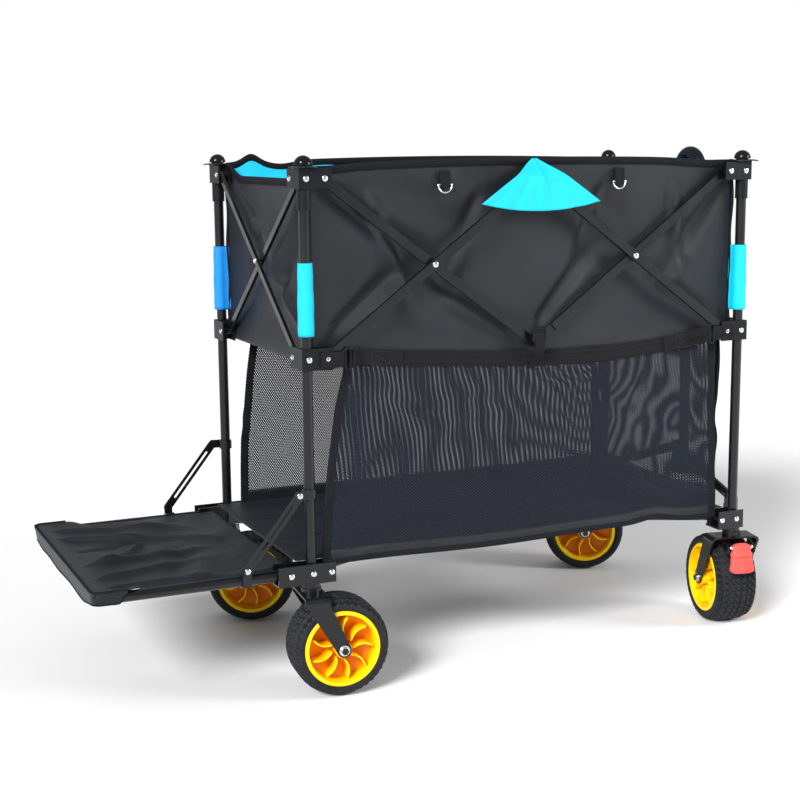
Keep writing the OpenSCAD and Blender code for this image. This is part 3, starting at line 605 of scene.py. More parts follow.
def wall_points(run, rim, bottom, place, columns_axis, folds):
    """A wall: height goes from bottom to rim, and depth in from the wall's plane comes from folds."""
    row = np.linspace(0, 1, WALL_ROWS)[:, None]
    run = run[None, :]
    z = bottom + (rim[None, :] - bottom) * row
    run = run + 0 * z
    half = BOX_X if columns_axis == 0 else BOX_Y
    hold = (1 - (np.abs(run) / half) ** 8) * smooth_step(np.sin(np.pi * row) * 1.6)
    inward = folds(run, z) * hold
    points = np.zeros((*z.shape, 3))
    points[..., columns_axis] = run
    points[..., 1 - columns_axis] = place + np.sign(-place) * inward
    points[..., 2] = z
    return points


def binding_points(edge, inward, height, thick):
    """A folded tape over an edge [n, 3]: an upside-down U of the tape's height, thick to each side."""
    edge = np.asarray(edge, float)
    turn = np.linspace(0, math.pi, 7)
    side = np.concatenate([[-thick], -thick * np.cos(turn), [thick]])
    lift = np.concatenate([[-height], thick * np.sin(turn), [-height]])
    inward = np.asarray(inward, float)
    return edge[None] + side[:, None, None] * inward + lift[:, None, None] * np.array([0, 0, 1.0])


def hem_droop(x):
    """How far a long wall's foot and hem hang below the straight line between the rings at their ends."""
    share = np.clip((x + 0.379) / 0.796, 0, 1)
    bow = np.sin(np.pi * share**1.35).clip(0, 1) ** 0.9
    return -25 * MM * bow * smooth_step((0.384 - x) / 0.05)


NEAR_CREASES = [
    (-0.42, 0.905, -0.12, 0.70, 0.020, 0.010),
    (-0.33, 0.90, -0.22, 0.62, 0.016, -0.008),
    (-0.43, 0.62, -0.20, 0.80, 0.018, 0.010),
    (-0.10, 0.90, -0.20, 0.66, 0.018, 0.008),
    (0.00, 0.62, 0.17, 0.82, 0.016, 0.010),
    (0.43, 0.90, 0.25, 0.66, 0.022, 0.012),
    (0.30, 0.92, 0.34, 0.62, 0.018, -0.009),
    (0.42, 0.61, 0.22, 0.74, 0.018, 0.009),
    (-0.02, 0.60, -0.24, 0.73, 0.015, -0.007),
    (0.16, 0.92, 0.08, 0.72, 0.014, 0.007),
]
END_CREASES = [
    (-0.20, 0.90, 0.02, 0.62, 0.018, 0.012),
    (0.20, 0.90, -0.03, 0.70, 0.018, 0.010),
    (-0.21, 0.63, 0.05, 0.76, 0.014, -0.008),
    (0.10, 0.88, 0.13, 0.62, 0.016, 0.010),
]


def long_wall(left):
    """One long wall of the box and its rim tape."""
    cloth = bpy.context.scene.cart_cloth
    side, body, out = side_of(left)
    place = out * BOX_Y
    run = np.linspace(-BOX_X, BOX_X, LONG_COLUMNS)
    seed = 5 if left else 3
    mirror = -1 if left else 1

    def folds(x, z):
        return (
            cloth.fold_depth * (0.45 + 0.42 * soft_folds(x * mirror, z, seed))
            + 1.5 * creases(x * mirror, z, NEAR_CREASES)
            + 4 * MM
        ).clip(-1.5 * MM, 30 * MM)

    points = wall_points(run, long_rim(run, left), box_low.z + hem_droop(run), place, 0, folds)
    patch = grid(points)
    wall = piece(
        f"box_wall_{side}",
        [turned(patch) if left else patch],
        finish_of("oxford_cloth"),
        body,
        shell=cloth.thickness,
        lining=finish_of("lining_cloth"),
    )
    inward = np.array([0, -out, 0])
    tape_patch = grid(binding_points(points[-1], inward, cloth.binding, 1.9 * MM))
    rim = piece(
        f"box_rim_{side}",
        [turned(tape_patch) if left else tape_patch],
        finish_of("binding_tape"),
        body,
        shell=0.7 * MM,
    )
    for made in (wall, rim):
        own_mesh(made)
    if not left:
        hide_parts("upper_box")


def end_wall(front):
    """One end wall of the box and its rim tape."""
    cloth = bpy.context.scene.cart_cloth
    place = BOX_X if front else -BOX_X
    run = np.linspace(-BOX_Y, BOX_Y, END_COLUMNS)
    seed = 11 if front else 8

    def folds(y, z):
        return (
            cloth.fold_depth * (0.5 + 0.5 * soft_folds(y, z, seed)) + 1.4 * creases(y, z, END_CREASES) + 4 * MM
        ).clip(-1.5 * MM, 30 * MM)

    points = wall_points(run, end_rim(run), box_low.z, place, 1, folds)
    body = "post_front_right" if front else "post_rear_right"
    side = "front" if front else "rear"
    patch = grid(points)
    wall = piece(
        f"box_wall_{side}",
        [patch if front else turned(patch)],
        finish_of("oxford_cloth"),
        body,
        shell=cloth.thickness,
        lining=finish_of("lining_cloth"),
    )
    inward = np.array([-np.sign(place), 0, 0])
    tape_patch = grid(binding_points(points[-1], inward, cloth.binding, 1.9 * MM))
    rim = piece(
        f"box_rim_{side}",
        [tape_patch if front else turned(tape_patch)],
        finish_of("binding_tape"),
        body,
        shell=0.7 * MM,
    )
    for made in (wall, rim):
        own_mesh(made)


def corner_cloth(name, sign_x, sign_y):
    """Piping down a corner of the box, and the flat cloth tab that the knob clamps to the corner."""
    body = f"post_{name}"
    x, y = sign_x * BOX_X, sign_y * BOX_Y
    z = np.linspace(box_low.z - 2 * MM, RIM_Z, 40)
    wander = 1.2 * MM * np.sin(TAU * z / 0.13 + sign_x)
    path = np.stack([x - sign_x * wander, y - sign_y * wander, z], 1)
    piece(
        f"box_corner_piping_{name}",
        [sweep(path, ring_section(3.2 * MM), up=(0, 1, 0))],
        finish_of("binding_tape"),
        body,
    )
    # the tab is a ring from the knob's neck out to a rounded square whose outer tip is drawn out
    columns, rows = 56, 9
    angle = np.linspace(0, TAU, columns, endpoint=False)
    share = np.linspace(0, 1, rows)[:, None]
    cosine, sine = np.cos(angle), np.sin(angle)
    square = 23 * MM / (np.abs(cosine) ** 3.4 + np.abs(sine) ** 3.4) ** (1 / 3.4)
    tip = np.exp(-(((np.mod(angle - math.atan2(sign_y, sign_x) + math.pi, TAU) - math.pi) / 0.35) ** 2))
    outer = square + 5 * MM * tip
    neck = 12.6 * MM
    radius = neck + (outer[None] - neck) * share
    points = np.zeros((rows, columns, 3))
    points[..., 0] = sign_x * POST_X + radius * cosine
    points[..., 1] = sign_y * POST_Y + radius * sine
    points[..., 2] = CAP_TOP + 2.4 * MM - 2.2 * MM * share**3 * (0.4 + 0.6 * np.sin(2 * angle) ** 2)
    piece(
        f"box_corner_tab_{name}",
        [turned(grid(points, wrap=(False, True)))],
        finish_of("oxford_cloth"),
        body,
        shell=1.6 * MM,
    )


class CART_OT_box(bpy.types.Operator):
    """Makes the walls, rims and corners of the upper box"""

    bl_idname = "cart.box"
    bl_label = "Upper box"

    def execute(self, context):
        for flag in (False, True):
            long_wall(flag)
            end_wall(flag)
        for name, signs in CORNERS.items():
            corner_cloth(name, *signs)
        return {"FINISHED"}


# ---- floors ----

# each floor is three strips, because the cart folds along X and along Y at once
FLOOR_STRIPS = (("right", "post_rear_right", -1), ("middle", None, 0), ("left", "post_rear_left", 1))


def floor_strips(name, low, high, thick, seed, depth, carrier):
    """A cloth floor in three strips: the outer two ride on the posts, and the middle one on its own carrier."""
    third = (high.y - low.y) / 3
    for part, post, number in FLOOR_STRIPS:
        body = post or carrier
        y0 = low.y + third * (number + 1)
        x, y = np.meshgrid(np.linspace(low.x, high.x, 120), np.linspace(y0, y0 + third, 26))
        from_end = high.x - np.abs(x - (low.x + high.x) / 2)
        hold = smooth_step((high.y - np.abs(y)) / 0.05) * smooth_step(from_end / 0.05)
        z = high.z - depth * hold * (0.5 + 0.5 * soft_folds(x, y, seed, 0.08, 0.3))
        strip = piece(
            f"{name}_{part}",
            [grid(np.stack([x, y, z], -1))],
            finish_of("oxford_cloth"),
            body,
            shell=thick,
        )
        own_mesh(strip)
        if number == 0 and name == "deck_floor":
            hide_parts("lower_floor")


class CART_OT_floors(bpy.types.Operator):
    """Makes the cloth floors of both decks"""

    bl_idname = "cart.floors"
    bl_label = "Floors"

    def execute(self, context):
        wider = Vector((0, 6 * MM, 0))
        lower_low, lower_high = floor_low - wider, floor_high + wider
        floor_strips("deck_floor", lower_low, lower_high, 1.6 * MM, 21, 3 * MM, "floor_hub")
        upper_low = Vector((-BOX_X + 2 * MM, -BOX_Y + 2 * MM, box_low.z))
        upper_high = Vector((BOX_X - 2 * MM, BOX_Y - 2 * MM, box_low.z + 3 * MM))
        floor_strips("box_floor", upper_low, upper_high, 1.6 * MM, 23, 6 * MM, "handle_bracket")
        return {"FINISHED"}


# ---- mesh walls ----

HEM_TOP = SLIDER_Z - 16 * MM
# how far a long net's foot stands out beyond its top
NET_LEAN = 4 * MM
NET_COLUMNS, NET_END_COLUMNS, NET_ROWS = 140, 90, 50


def net_side(left):
    """A long net wall with tape at both ends and a cloth band along its foot."""
    side, body, out = side_of(left)
    top_z = HEM_TOP + 2 * MM
    foot_z = basket_low.z - 13 * MM
    band = 34 * MM if left else 18 * MM
    share, height = np.meshgrid(np.linspace(0, 1, NET_COLUMNS), np.linspace(0, 1, NET_ROWS))
    # the ends lean: the panel is narrower at the top than at the foot
    rear = -0.424 + (0.030 if left else 0.049) * height**1.3 - 0.006 * np.sin(np.pi * height)
    front = (0.425 if left else 0.417) - 0.006 * height
    x = rear + (front - rear) * share
    z = foot_z + (top_z + hem_droop(x) - foot_z) * height
    if not left:
        # the near foot waves a little, and is drawn up in one place
        sag = 2.5 * MM * np.sin(TAU * share * 1.6 + 0.6) + 9 * MM * np.exp(-(((share - 0.83) / 0.05) ** 2))
        z += sag * (1 - height) ** 2
    folds = soft_folds(x, z, 33 if left else 31, 0.06, 0.22)
    ripple = (4 * MM * folds + 2 * MM) * np.sin(np.pi * height) ** 0.7
    lean = NET_LEAN * (1 - height)
    y = out * (BOX_Y - 1 * MM + lean - np.clip(ripple, -3 * MM, 12 * MM))
    points = np.stack([x, y, z], -1)

    def facing(patch):
        return turned(patch) if left else patch

    split = int(round(NET_ROWS * band / (top_z - foot_z)))
    net = piece(
        f"net_wall_{side}",
        [facing(grid(points[split:]))],
        finish_of("crosswise_net" if left else "knitted_net"),
        body,
    )
    foot = piece(
        f"net_foot_{side}",
        [facing(grid(points[: split + 1] + np.array([0, out * 0.4 * MM, 0])))],
        finish_of("oxford_cloth"),
        body,
        shell=1.4 * MM,
    )
    tapes = []
    for column, step in ((0, 1), (-1, -1)):
        edge = points[:, column]
        inner = points[:, column + step * 3]
        middle = (edge + inner) / 2
        tapes.append(sweep(middle, flat_section(2.6 * MM, 15 * MM), up=(1, 0, 0)))
    ends = piece(f"net_tape_{side}", tapes, finish_of("binding_tape"), body)
    edge = points[0] + np.array([0, out * 0.6 * MM, 0])
    hem = piece(
        f"net_hem_{side}",
        [sweep(edge, flat_section(3.2 * MM, 9 * MM, 0.6))],
        finish_of("binding_tape"),
        body,
    )
    for made in (net, foot, ends, hem):
        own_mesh(made)
    if not left:
        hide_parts("lower_basket")


def net_front():
    """The net wall at the handle end."""
    share, height = np.meshgrid(np.linspace(-1, 1, NET_END_COLUMNS), np.linspace(0, 1, NET_ROWS))
    top_z, foot_z = HEM_TOP + 2 * MM, basket_low.z
    y = share * (BOX_Y - 3 * MM)
    z = foot_z + (top_z - foot_z) * height
    ripple = (4 * MM * soft_folds(y, z, 37, 0.06, 0.2) + 2 * MM) * np.sin(np.pi * height) ** 0.7
    x = BOX_X - 17 * MM - ripple
    points = np.stack([x, y, z], -1)
    body = "post_front_right"
    net = piece("net_wall_front", [grid(points[4:])], finish_of("knitted_net"), body)
    foot = piece(
        "net_foot_front",
        [grid(points[:5] + np.array([0.4 * MM, 0, 0]))],
        finish_of("oxford_cloth"),
        body,
        shell=1.4 * MM,
    )
    tapes = []
    for column, step in ((0, 1), (-1, -1)):
        middle = points[:, column] + np.array([0, step * 7 * MM, 0])
        tapes.append(sweep(middle, flat_section(15 * MM, 2.6 * MM), up=(1, 0, 0)))
    ends = piece("net_tape_front", tapes, finish_of("binding_tape"), body)
    for made in (net, foot, ends):
        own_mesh(made)


class CART_OT_nets(bpy.types.Operator):
    """Makes the net walls of the lower deck"""

    bl_idname = "cart.nets"
    bl_label = "Net walls"

    def execute(self, context):
        net_side(False)
        net_side(True)
        net_front()
        return {"FINISHED"}


# ---- webbing on the sides ----


def ribbon(path, width, thick=1.8 * MM):
    """Flat webbing that stands on edge along a path."""
    return sweep(path, flat_section(thick, width, 0.35))


def eased_path(points, count=40):
    """A path through points by smooth steps along X."""
    points = np.asarray(points, float)
    x = np.linspace(points[0, 0], points[-1, 0], count)
    which = np.clip(np.searchsorted(points[:, 0], x, side="right") - 1, 0, len(points) - 2)
    a, b = points[which], points[which + 1]
    share = smooth_step((x - a[:, 0]) / (b[:, 0] - a[:, 0]))[:, None]
    rest = a[:, 1:] + (b[:, 1:] - a[:, 1:]) * share
    return np.column_stack([x, rest])


def side_webbing(left):
    """The hem, its webbing ends and their rings on one long side."""
    side, body, out = side_of(left)
    hem_y = out * (BOX_Y + 2.2 * MM)
    out_y = out * (POST_Y + CHEEK + 1.6 * MM)
    middle = SLIDER_Z - 2 * MM
    width = strap_high.z - strap_low.z
    # hem: one band with two round ribs along it
    x = np.linspace(-0.37, 0.37, 120)
    droop = hem_droop(x)
    across = np.linspace(-0.5, 0.5, 33)
    bulge = 1.6 * MM * (np.exp(-(((across - 0.22) / 0.09) ** 2)) + np.exp(-(((across + 0.22) / 0.09) ** 2)))
    points = np.zeros((len(across), len(x), 3))
    points[..., 0] = x[None]
    points[..., 1] = hem_y + out * bulge[:, None]
    points[..., 2] = middle - 3 * MM + droop[None] + across[:, None] * (width - 2 * MM)
    hem = piece(
        f"box_hem_{side}",
        [turned(grid(points)) if left else grid(points)],
        finish_of("webbing"),
        body,
        shell=1.2 * MM,
    )
    bands, rings, threads = [], [], []
    for sign, inner in ((-1, 0.264), (1, 0.285)):
        ring_x = sign * 0.379
        # from its sewn end on the hem out to the ring
        tail = eased_path(
            [
                (inner, abs(hem_y) + 2.2 * MM, middle - 2 * MM),
                (0.345, abs(hem_y) + 4 * MM, middle - 1 * MM),
                (0.37, abs(out_y), middle),
            ],
            36,
        )
        tail[:, 0] *= sign
        tail[:, 1] *= out
        tail[:, 2] += hem_droop(tail[:, 0])
        bands.append(ribbon(tail, width - 2 * MM))
        end = eased_path([(0.383, abs(out_y), middle), (0.43, abs(out_y), middle)], 12)
        end[:, 0] *= sign
        end[:, 1] *= out
        bands.append(ribbon(end, width - 4 * MM))
        rings.append(ring_frame((ring_x, out_y + out * 1.0 * MM, middle), 9 * MM, width + 5 * MM, 1.7 * MM))
        sewn_x = sign * (inner + 0.045)
        sewn_z = middle - 2 * MM + hem_droop(sewn_x)
        threads += box_stitch(sewn_x, abs(hem_y) + 4.3 * MM, out, sewn_z, 34 * MM, width - 9 * MM)
    webbing = piece(f"side_webbing_{side}", bands, finish_of("webbing"), body)
    plates = piece(f"webbing_rings_{side}", rings, finish_of("moulded_nylon"), body)
    stitch = piece(f"webbing_stitch_{side}", threads, finish_of("oxford_cloth"), body)
    for made in (hem, webbing, plates, stitch):
        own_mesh(made)
    if not left:
        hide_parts("side_straps")


def ring_frame(centre, width, height, wire):
    """A rectangular wire ring in the XZ plane with rounded corners."""
    angle = np.linspace(0, TAU, 40, endpoint=False)
    cosine, sine = np.cos(angle), np.sin(angle)
    x = width / 2 * np.sign(cosine) * np.abs(cosine) ** 0.35
    z = height / 2 * np.sign(sine) * np.abs(sine) ** 0.35
    path = np.stack([centre[0] + x, centre[1] + 0 * x, centre[2] + z], 1)
    return sweep(path, ring_section(wire, 8), up=(0, 1, 0), closed=True)


def box_stitch(x, y, out, z, wide, high):
    """Sewn box with a cross in it: thin raised threads."""
    made = []
    corners = [(-0.5, -0.5), (0.5, -0.5), (0.5, 0.5), (-0.5, 0.5)]
    lines = [(corners[i], corners[(i + 1) % 4]) for i in range(4)]
    lines += [(corners[0], corners[2]), (corners[1], corners[3])]
    for (a0, b0), (a1, b1) in lines:
        share = np.linspace(0, 1, 14)
        path = np.stack(
            [
                x + wide * (a0 + (a1 - a0) * share),
                out * y + 0 * share,
                z + high * (b0 + (b1 - b0) * share),
            ],
            1,
        )
        made.append(sweep(path, ring_section(0.5 * MM, 6), up=(0, 1, 0)))
    return made


def ladder_lock(left):
    """The ladder-lock buckle at mid length, on its short strap above the hem."""
    side, body, out = side_of(left)
    y = out * (POST_Y + 13.5 * MM)
    z = SLIDER_Z + 20 * MM
    bars = [
        sweep([(-14 * MM, y, z + step), (14 * MM, y, z + step)], flat_section(4.4 * MM, 3.2 * MM, 0.5))
        for step in (-12 * MM, -2 * MM, 9 * MM)
    ]
    rails = []
    for rail_x in (-13 * MM, 13 * MM):
        path = [(rail_x, y, z - 14 * MM), (rail_x, y, z + 11 * MM)]
        rails.append(sweep(path, flat_section(5 * MM, 4 * MM, 0.5), up=(1, 0, 0)))
    buckle = piece(
        f"ladder_lock_{side}", bars + rails, finish_of("moulded_nylon"), body, sharp=40
    )
    run = np.linspace(0, 1, 30)
    drop = z + 13 * MM - 78 * MM * run
    depth = out * (POST_Y + 12 * MM + 4 * MM * np.sin(np.pi * run) - 22 * MM * smooth_step(run * 2 - 1))
    path = np.stack([0 * run, depth, drop], 1)
    strap = piece(
        f"lock_strap_{side}",
        [sweep(path, flat_section(21 * MM, 1.8 * MM, 0.35), up=(0, -1, 0))],
        finish_of("webbing"),
        body,
    )
    for made in (buckle, strap):
        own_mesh(made)


def d_ring_set(left):
    """Two D-rings on each side, each hanging in a folded webbing tab under the rim."""
    side, body, out = side_of(left)
    _, ring_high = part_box("d_rings")
    # radius of the bow, at the middle of the wire
    bow_r = 13.5 * MM
    place_x = ring_high.x - 14.8 * MM
    bar_z = ring_high.z - 1.8 * MM
    y = out * (BOX_Y + 4 * MM)
    rings, tabs = [], []
    for x in (-place_x, place_x):
        angle = np.linspace(0, math.pi, 25)
        bow = np.stack(
            [x + bow_r * np.cos(angle), y + 0 * angle, bar_z - 14 * MM * np.sin(angle) ** 0.9], 1
        )
        bar = np.stack([np.linspace(x - bow_r, x + bow_r, 9), np.full(9, y), np.full(9, bar_z)], 1)
        path = np.concatenate([bow, bar[1:-1]])
        rings.append(sweep(path, ring_section(1.7 * MM, 10), up=(0, 1, 0), closed=True))
        hang = np.linspace(bar_z - 5 * MM, bar_z + 24 * MM, 12)
        path = np.stack([np.full(12, x), np.full(12, y), hang], 1)
        tabs.append(sweep(path, flat_section(20 * MM, 5.4 * MM, 0.4), up=(0, -1, 0)))
    ring = piece(f"tie_rings_{side}", rings, finish_of("plated_steel"), body)
    tab = piece(f"ring_tabs_{side}", tabs, finish_of("webbing"), body)
    for made in (ring, tab):
        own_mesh(made)
    if not left:
        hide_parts("d_rings")


class CART_OT_webbing(bpy.types.Operator):
    """Makes the hems, webbing, buckles and tie rings"""

    bl_idname = "cart.webbing"
    bl_label = "Webbing"

    def execute(self, context):
        for left in (False, True):
            side_webbing(left)
            ladder_lock(left)
            d_ring_set(left)
        return {"FINISHED"}


# ---- the cloth cover over the middle joint ----


def middle_cover(left):
    """A pointed cloth flap that hangs from the rim over the top middle rivet: a triangle with a bowed foot."""
    side, body, out = side_of(left)
    share, fall = np.meshgrid(np.linspace(-1, 1, 61), np.linspace(0, 1, 34))
    peak_z = float(long_rim(np.array([0.0]), left)[0]) + 2 * MM
    wing_z = CAP_Z - 50 * MM
    half = 122 * MM * fall**0.96
    x = share * half
    foot = wing_z - 15 * MM * (1 - share**2)
    z = peak_z + (foot - peak_z) * fall
    bars = BOX_Y + (POST_Y + 16 * MM - BOX_Y) * smooth_step(fall * 2.2)
    ridge = 5 * MM * np.exp(-((share / 0.22) ** 2)) * np.sin(np.pi * fall) ** 0.8
    pleat = 2.4 * MM * np.sin(share * 9 + 1.2) * fall**1.4
    y = out * (bars + 2.5 * MM + ridge + np.abs(pleat))
    patch = grid(np.stack([x, y, z], -1)[1:])
    cover = piece(
        f"joint_cover_{side}",
        [patch if left else turned(patch)],
        finish_of("lining_cloth"),
        body,
        shell=1.2 * MM,
    )
    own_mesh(cover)


class CART_OT_covers(bpy.types.Operator):
    """Makes the pointed cloth covers over the middle joints"""

    bl_idname = "cart.covers"
    bl_label = "Joint covers"

    def execute(self, context):
        middle_cover(False)
        middle_cover(True)
        return {"FINISHED"}


# ---- wraps round the posts ----


def post_wrap(name, sign_x, sign_y):
    """A cloth wrap round a post: a round loop whose two ends run flat together towards the box."""
    loop = 13.6 * MM
    tail = 25 * MM
    low, high = SLIDER_Z + 40 * MM, SLIDER_Z + 166 * MM
    towards = math.atan2(-sign_y, -sign_x)
    rows = 26
    # the outline: an arc round the post, then the two sides of the tail
    arc = np.linspace(0.62, TAU - 0.62, 46)
    outline = np.stack([loop * np.cos(arc), loop * np.sin(arc)], 1)
    run = np.linspace(0, 1, 8)[1:]
    last = outline[-1]
    back = np.stack([last[0] + (tail - last[0]) * run, last[1] * (1 - run) ** 2 - 0.7 * MM * run], 1)
    there = back[::-1] * np.array([1, -1])
    outline = np.concatenate([outline, back, there])
    turn = np.array([[math.cos(towards), -math.sin(towards)], [math.sin(towards), math.cos(towards)]])
    share = np.linspace(0, 1, rows)
    swell = 1 + 0.05 * np.sin(np.pi * share * 1.3 + 0.4)[:, None, None]
    wave = 1 + 0.02 * np.sin(share * 17)[:, None, None]
    plan = (outline[None] * swell * wave) @ turn.T
    points = np.zeros((rows, len(outline), 3))
    points[..., 0] = sign_x * POST_X + plan[..., 0]
    points[..., 1] = sign_y * POST_Y + plan[..., 1]
    points[..., 2] = low + (high - low) * share[:, None]
    # the rear left post's wrap takes the darker copy of the lining, as painted shade
    far = name == "rear_left"
    material = finish_of("shaded_wrap_cloth" if far else "lining_cloth")
    wrap = piece(
        f"post_wrap_{name}", [grid(points, wrap=(False, True))], material, f"post_{name}", shell=0.9 * MM
    )


class CART_OT_wraps(bpy.types.Operator):
    """Makes the coloured cloth wraps on the posts"""

    bl_idname = "cart.wraps"
    bl_label = "Post wraps"

    def execute(self, context):
        for name, signs in CORNERS.items():
            post_wrap(name, *signs)
        return {"FINISHED"}


# ---- tailgate cloth ----

GATE_CREASES = [
    (-0.85, 0.14, -0.50, 0.02, 0.012, 0.010),
    (-0.85, 0.20, -0.52, 0.13, 0.014, 0.008),
    (-0.84, -0.08, -0.52, -0.02, 0.012, 0.009),
    (-0.66, 0.05, -0.82, -0.12, 0.011, 0.008),
    (-0.84, -0.17, -0.56, -0.09, 0.014, 0.009),
    (-0.83, -0.22, -0.60, -0.20, 0.010, 0.006),
    (-0.83, 0.02, -0.62, 0.08, 0.012, -0.006),
]


def tailgate_cloth():
    """The tailgate's cloth: a slack sheet between the tubes, rolled over their ends, with a pocket below."""
    outer_x = gate_low.x
    inner_x = gate_high.x - 2 * MM
    top_z = gate_high.z
    share, across = np.meshgrid(np.linspace(0, 1, 110), np.linspace(-1, 1, 120), indexing="ij")
    x = inner_x + (outer_x + 9 * MM - inner_x) * share
    reach = gate_high.y - 1 * MM
    narrow = 238 * MM
    # the sides are drawn in between the hinge and the pockets
    draw_in = 4 * MM * np.sin(np.pi * share.clip(0, 0.8) / 0.8)
    width = narrow + (reach - narrow) * smooth_step((share - 0.74) / 0.12) - draw_in
    y = across * width
    hold = smooth_step((1 - np.abs(across)) * 7) * smooth_step(share * 7) * smooth_step((1 - share) * 9)
    folds = 5 * MM * soft_folds(x, y, 47, 0.08, 0.28) + creases(x, y, GATE_CREASES) - 5 * MM
    drape = smooth_step((np.abs(across) - 0.9) / 0.1) * (1 - smooth_step((share - 0.72) / 0.1))
    z = top_z + 2 * MM * share + folds * hold - 7 * MM * drape
    # the last rows roll over the tube ends
    roll = 12
    turn = np.linspace(0, math.pi / 2, roll)[1:, None]
    edge = np.stack([x[-1], y[-1], z[-1]], -1)
    rolled = edge[None] + np.stack(
        [
            -8 * MM * np.sin(turn) + 0 * edge[None, :, 0],
            0 * turn + 0 * edge[None, :, 0],
            8 * MM * (np.cos(turn) - 1) + 0 * edge[None, :, 0],
        ],
        -1,
    )
    points = np.concatenate([np.stack([x, y, z], -1), rolled])
    sheet = piece(
        "tailgate_sheet",
        [grid(points)],
        finish_of("oxford_cloth"),
        "tailgate_right",
        shell=1.6 * MM,
    )
    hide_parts("tailgate_fabric")
    # pocket: a band that hangs from the outer edge and turns in round both tube ends
    corner_r = 16 * MM
    flap_x = outer_x + 62 * MM
    arc = np.linspace(0, math.pi / 2, 12)
    near = np.stack([np.linspace(flap_x, outer_x + corner_r, 16), np.full(16, -reach)], 1)
    bend = np.stack(
        [outer_x + corner_r - corner_r * np.sin(arc), -reach + corner_r - corner_r * np.cos(arc)], 1
    )
    front = np.stack([np.full(70, outer_x), np.linspace(-reach + corner_r, reach - corner_r, 70)], 1)
    far_bend = bend[::-1] * np.array([1, -1])
    far = near[::-1] * np.array([1, -1])
    plan = np.concatenate([near, bend[1:], front[1:-1], far_bend, far[1:]])
    length = np.concatenate([[0], np.cumsum(np.linalg.norm(np.diff(plan, axis=0), axis=1))])
    from_end = np.minimum(length, length[-1] - length)
    low = gate_low.z + 2 * MM
    at_corner = smooth_step((0.14 - from_end) / 0.08)
    hang = top_z - 31 * MM
    foot = hang - (hang - low) * at_corner
    foot = foot + (top_z - 6 * MM - foot) * (1 - smooth_step(from_end / 0.022)) ** 2
    foot += 1.6 * MM * np.sin(length / 0.031)
    fall = np.linspace(0, 1, 16)[:, None]
    band = np.zeros((16, len(plan), 3))
    tuck = 1 - 0.012 * fall**2
    centre_x = outer_x + 0.06
    band[..., 0] = centre_x + (plan[None, :, 0] - centre_x) * (1 - 0.05 * fall**2)
    band[..., 1] = plan[None, :, 1] * tuck
    band[..., 2] = (top_z + 1 * MM) + (foot[None] - top_z) * fall
    pocket = piece(
        "tailgate_pocket",
        [grid(band)],
        finish_of("oxford_cloth"),
        "tailgate_right",
        shell=1.4 * MM,
    )
    rim = piece(
        "tailgate_piping",
        [
            sweep(band[0] + np.array([0, 0, 1.2 * MM]), ring_section(1.9 * MM, 8)),
            sweep(band[-1], ring_section(1.5 * MM, 8)),
        ],
        finish_of("binding_tape"),
        "tailgate_right",
    )
    for made in (sheet, pocket, rim):
        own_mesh(made)


class CART_OT_tailgate(bpy.types.Operator):
    """Makes the tailgate's cloth"""

    bl_idname = "cart.tailgate"
    bl_label = "Tailgate cloth"

    def execute(self, context):
        tailgate_cloth()
        return {"FINISHED"}


# ---- rivets and bolts ----

# outlines of the heads, as (radius, height) from the axis outwards
RIVET = np.array([(0.0, 1.9), (0.9, 2.0), (1.4, 2.7), (3.6, 2.6), (5.0, 1.9), (5.9, 0.6), (5.9, -0.4)]) * MM
BOLT = np.array([(0.0, 5.6), (6.2, 5.6), (7.4, 4.9), (7.4, 1.6), (9.4, 1.4), (9.8, 1.0), (9.8, -0.2)]) * MM


def add_heads(name, body, places, profile=RIVET, sides=24):
    """Bright heads at (centre, axis) places, all on one body."""
    patches = [lathe(profile, centre, axis, sides) for centre, axis in places]
    return piece(name, [turned(p) for p in patches], finish_of("plated_steel"), body, sharp=35)


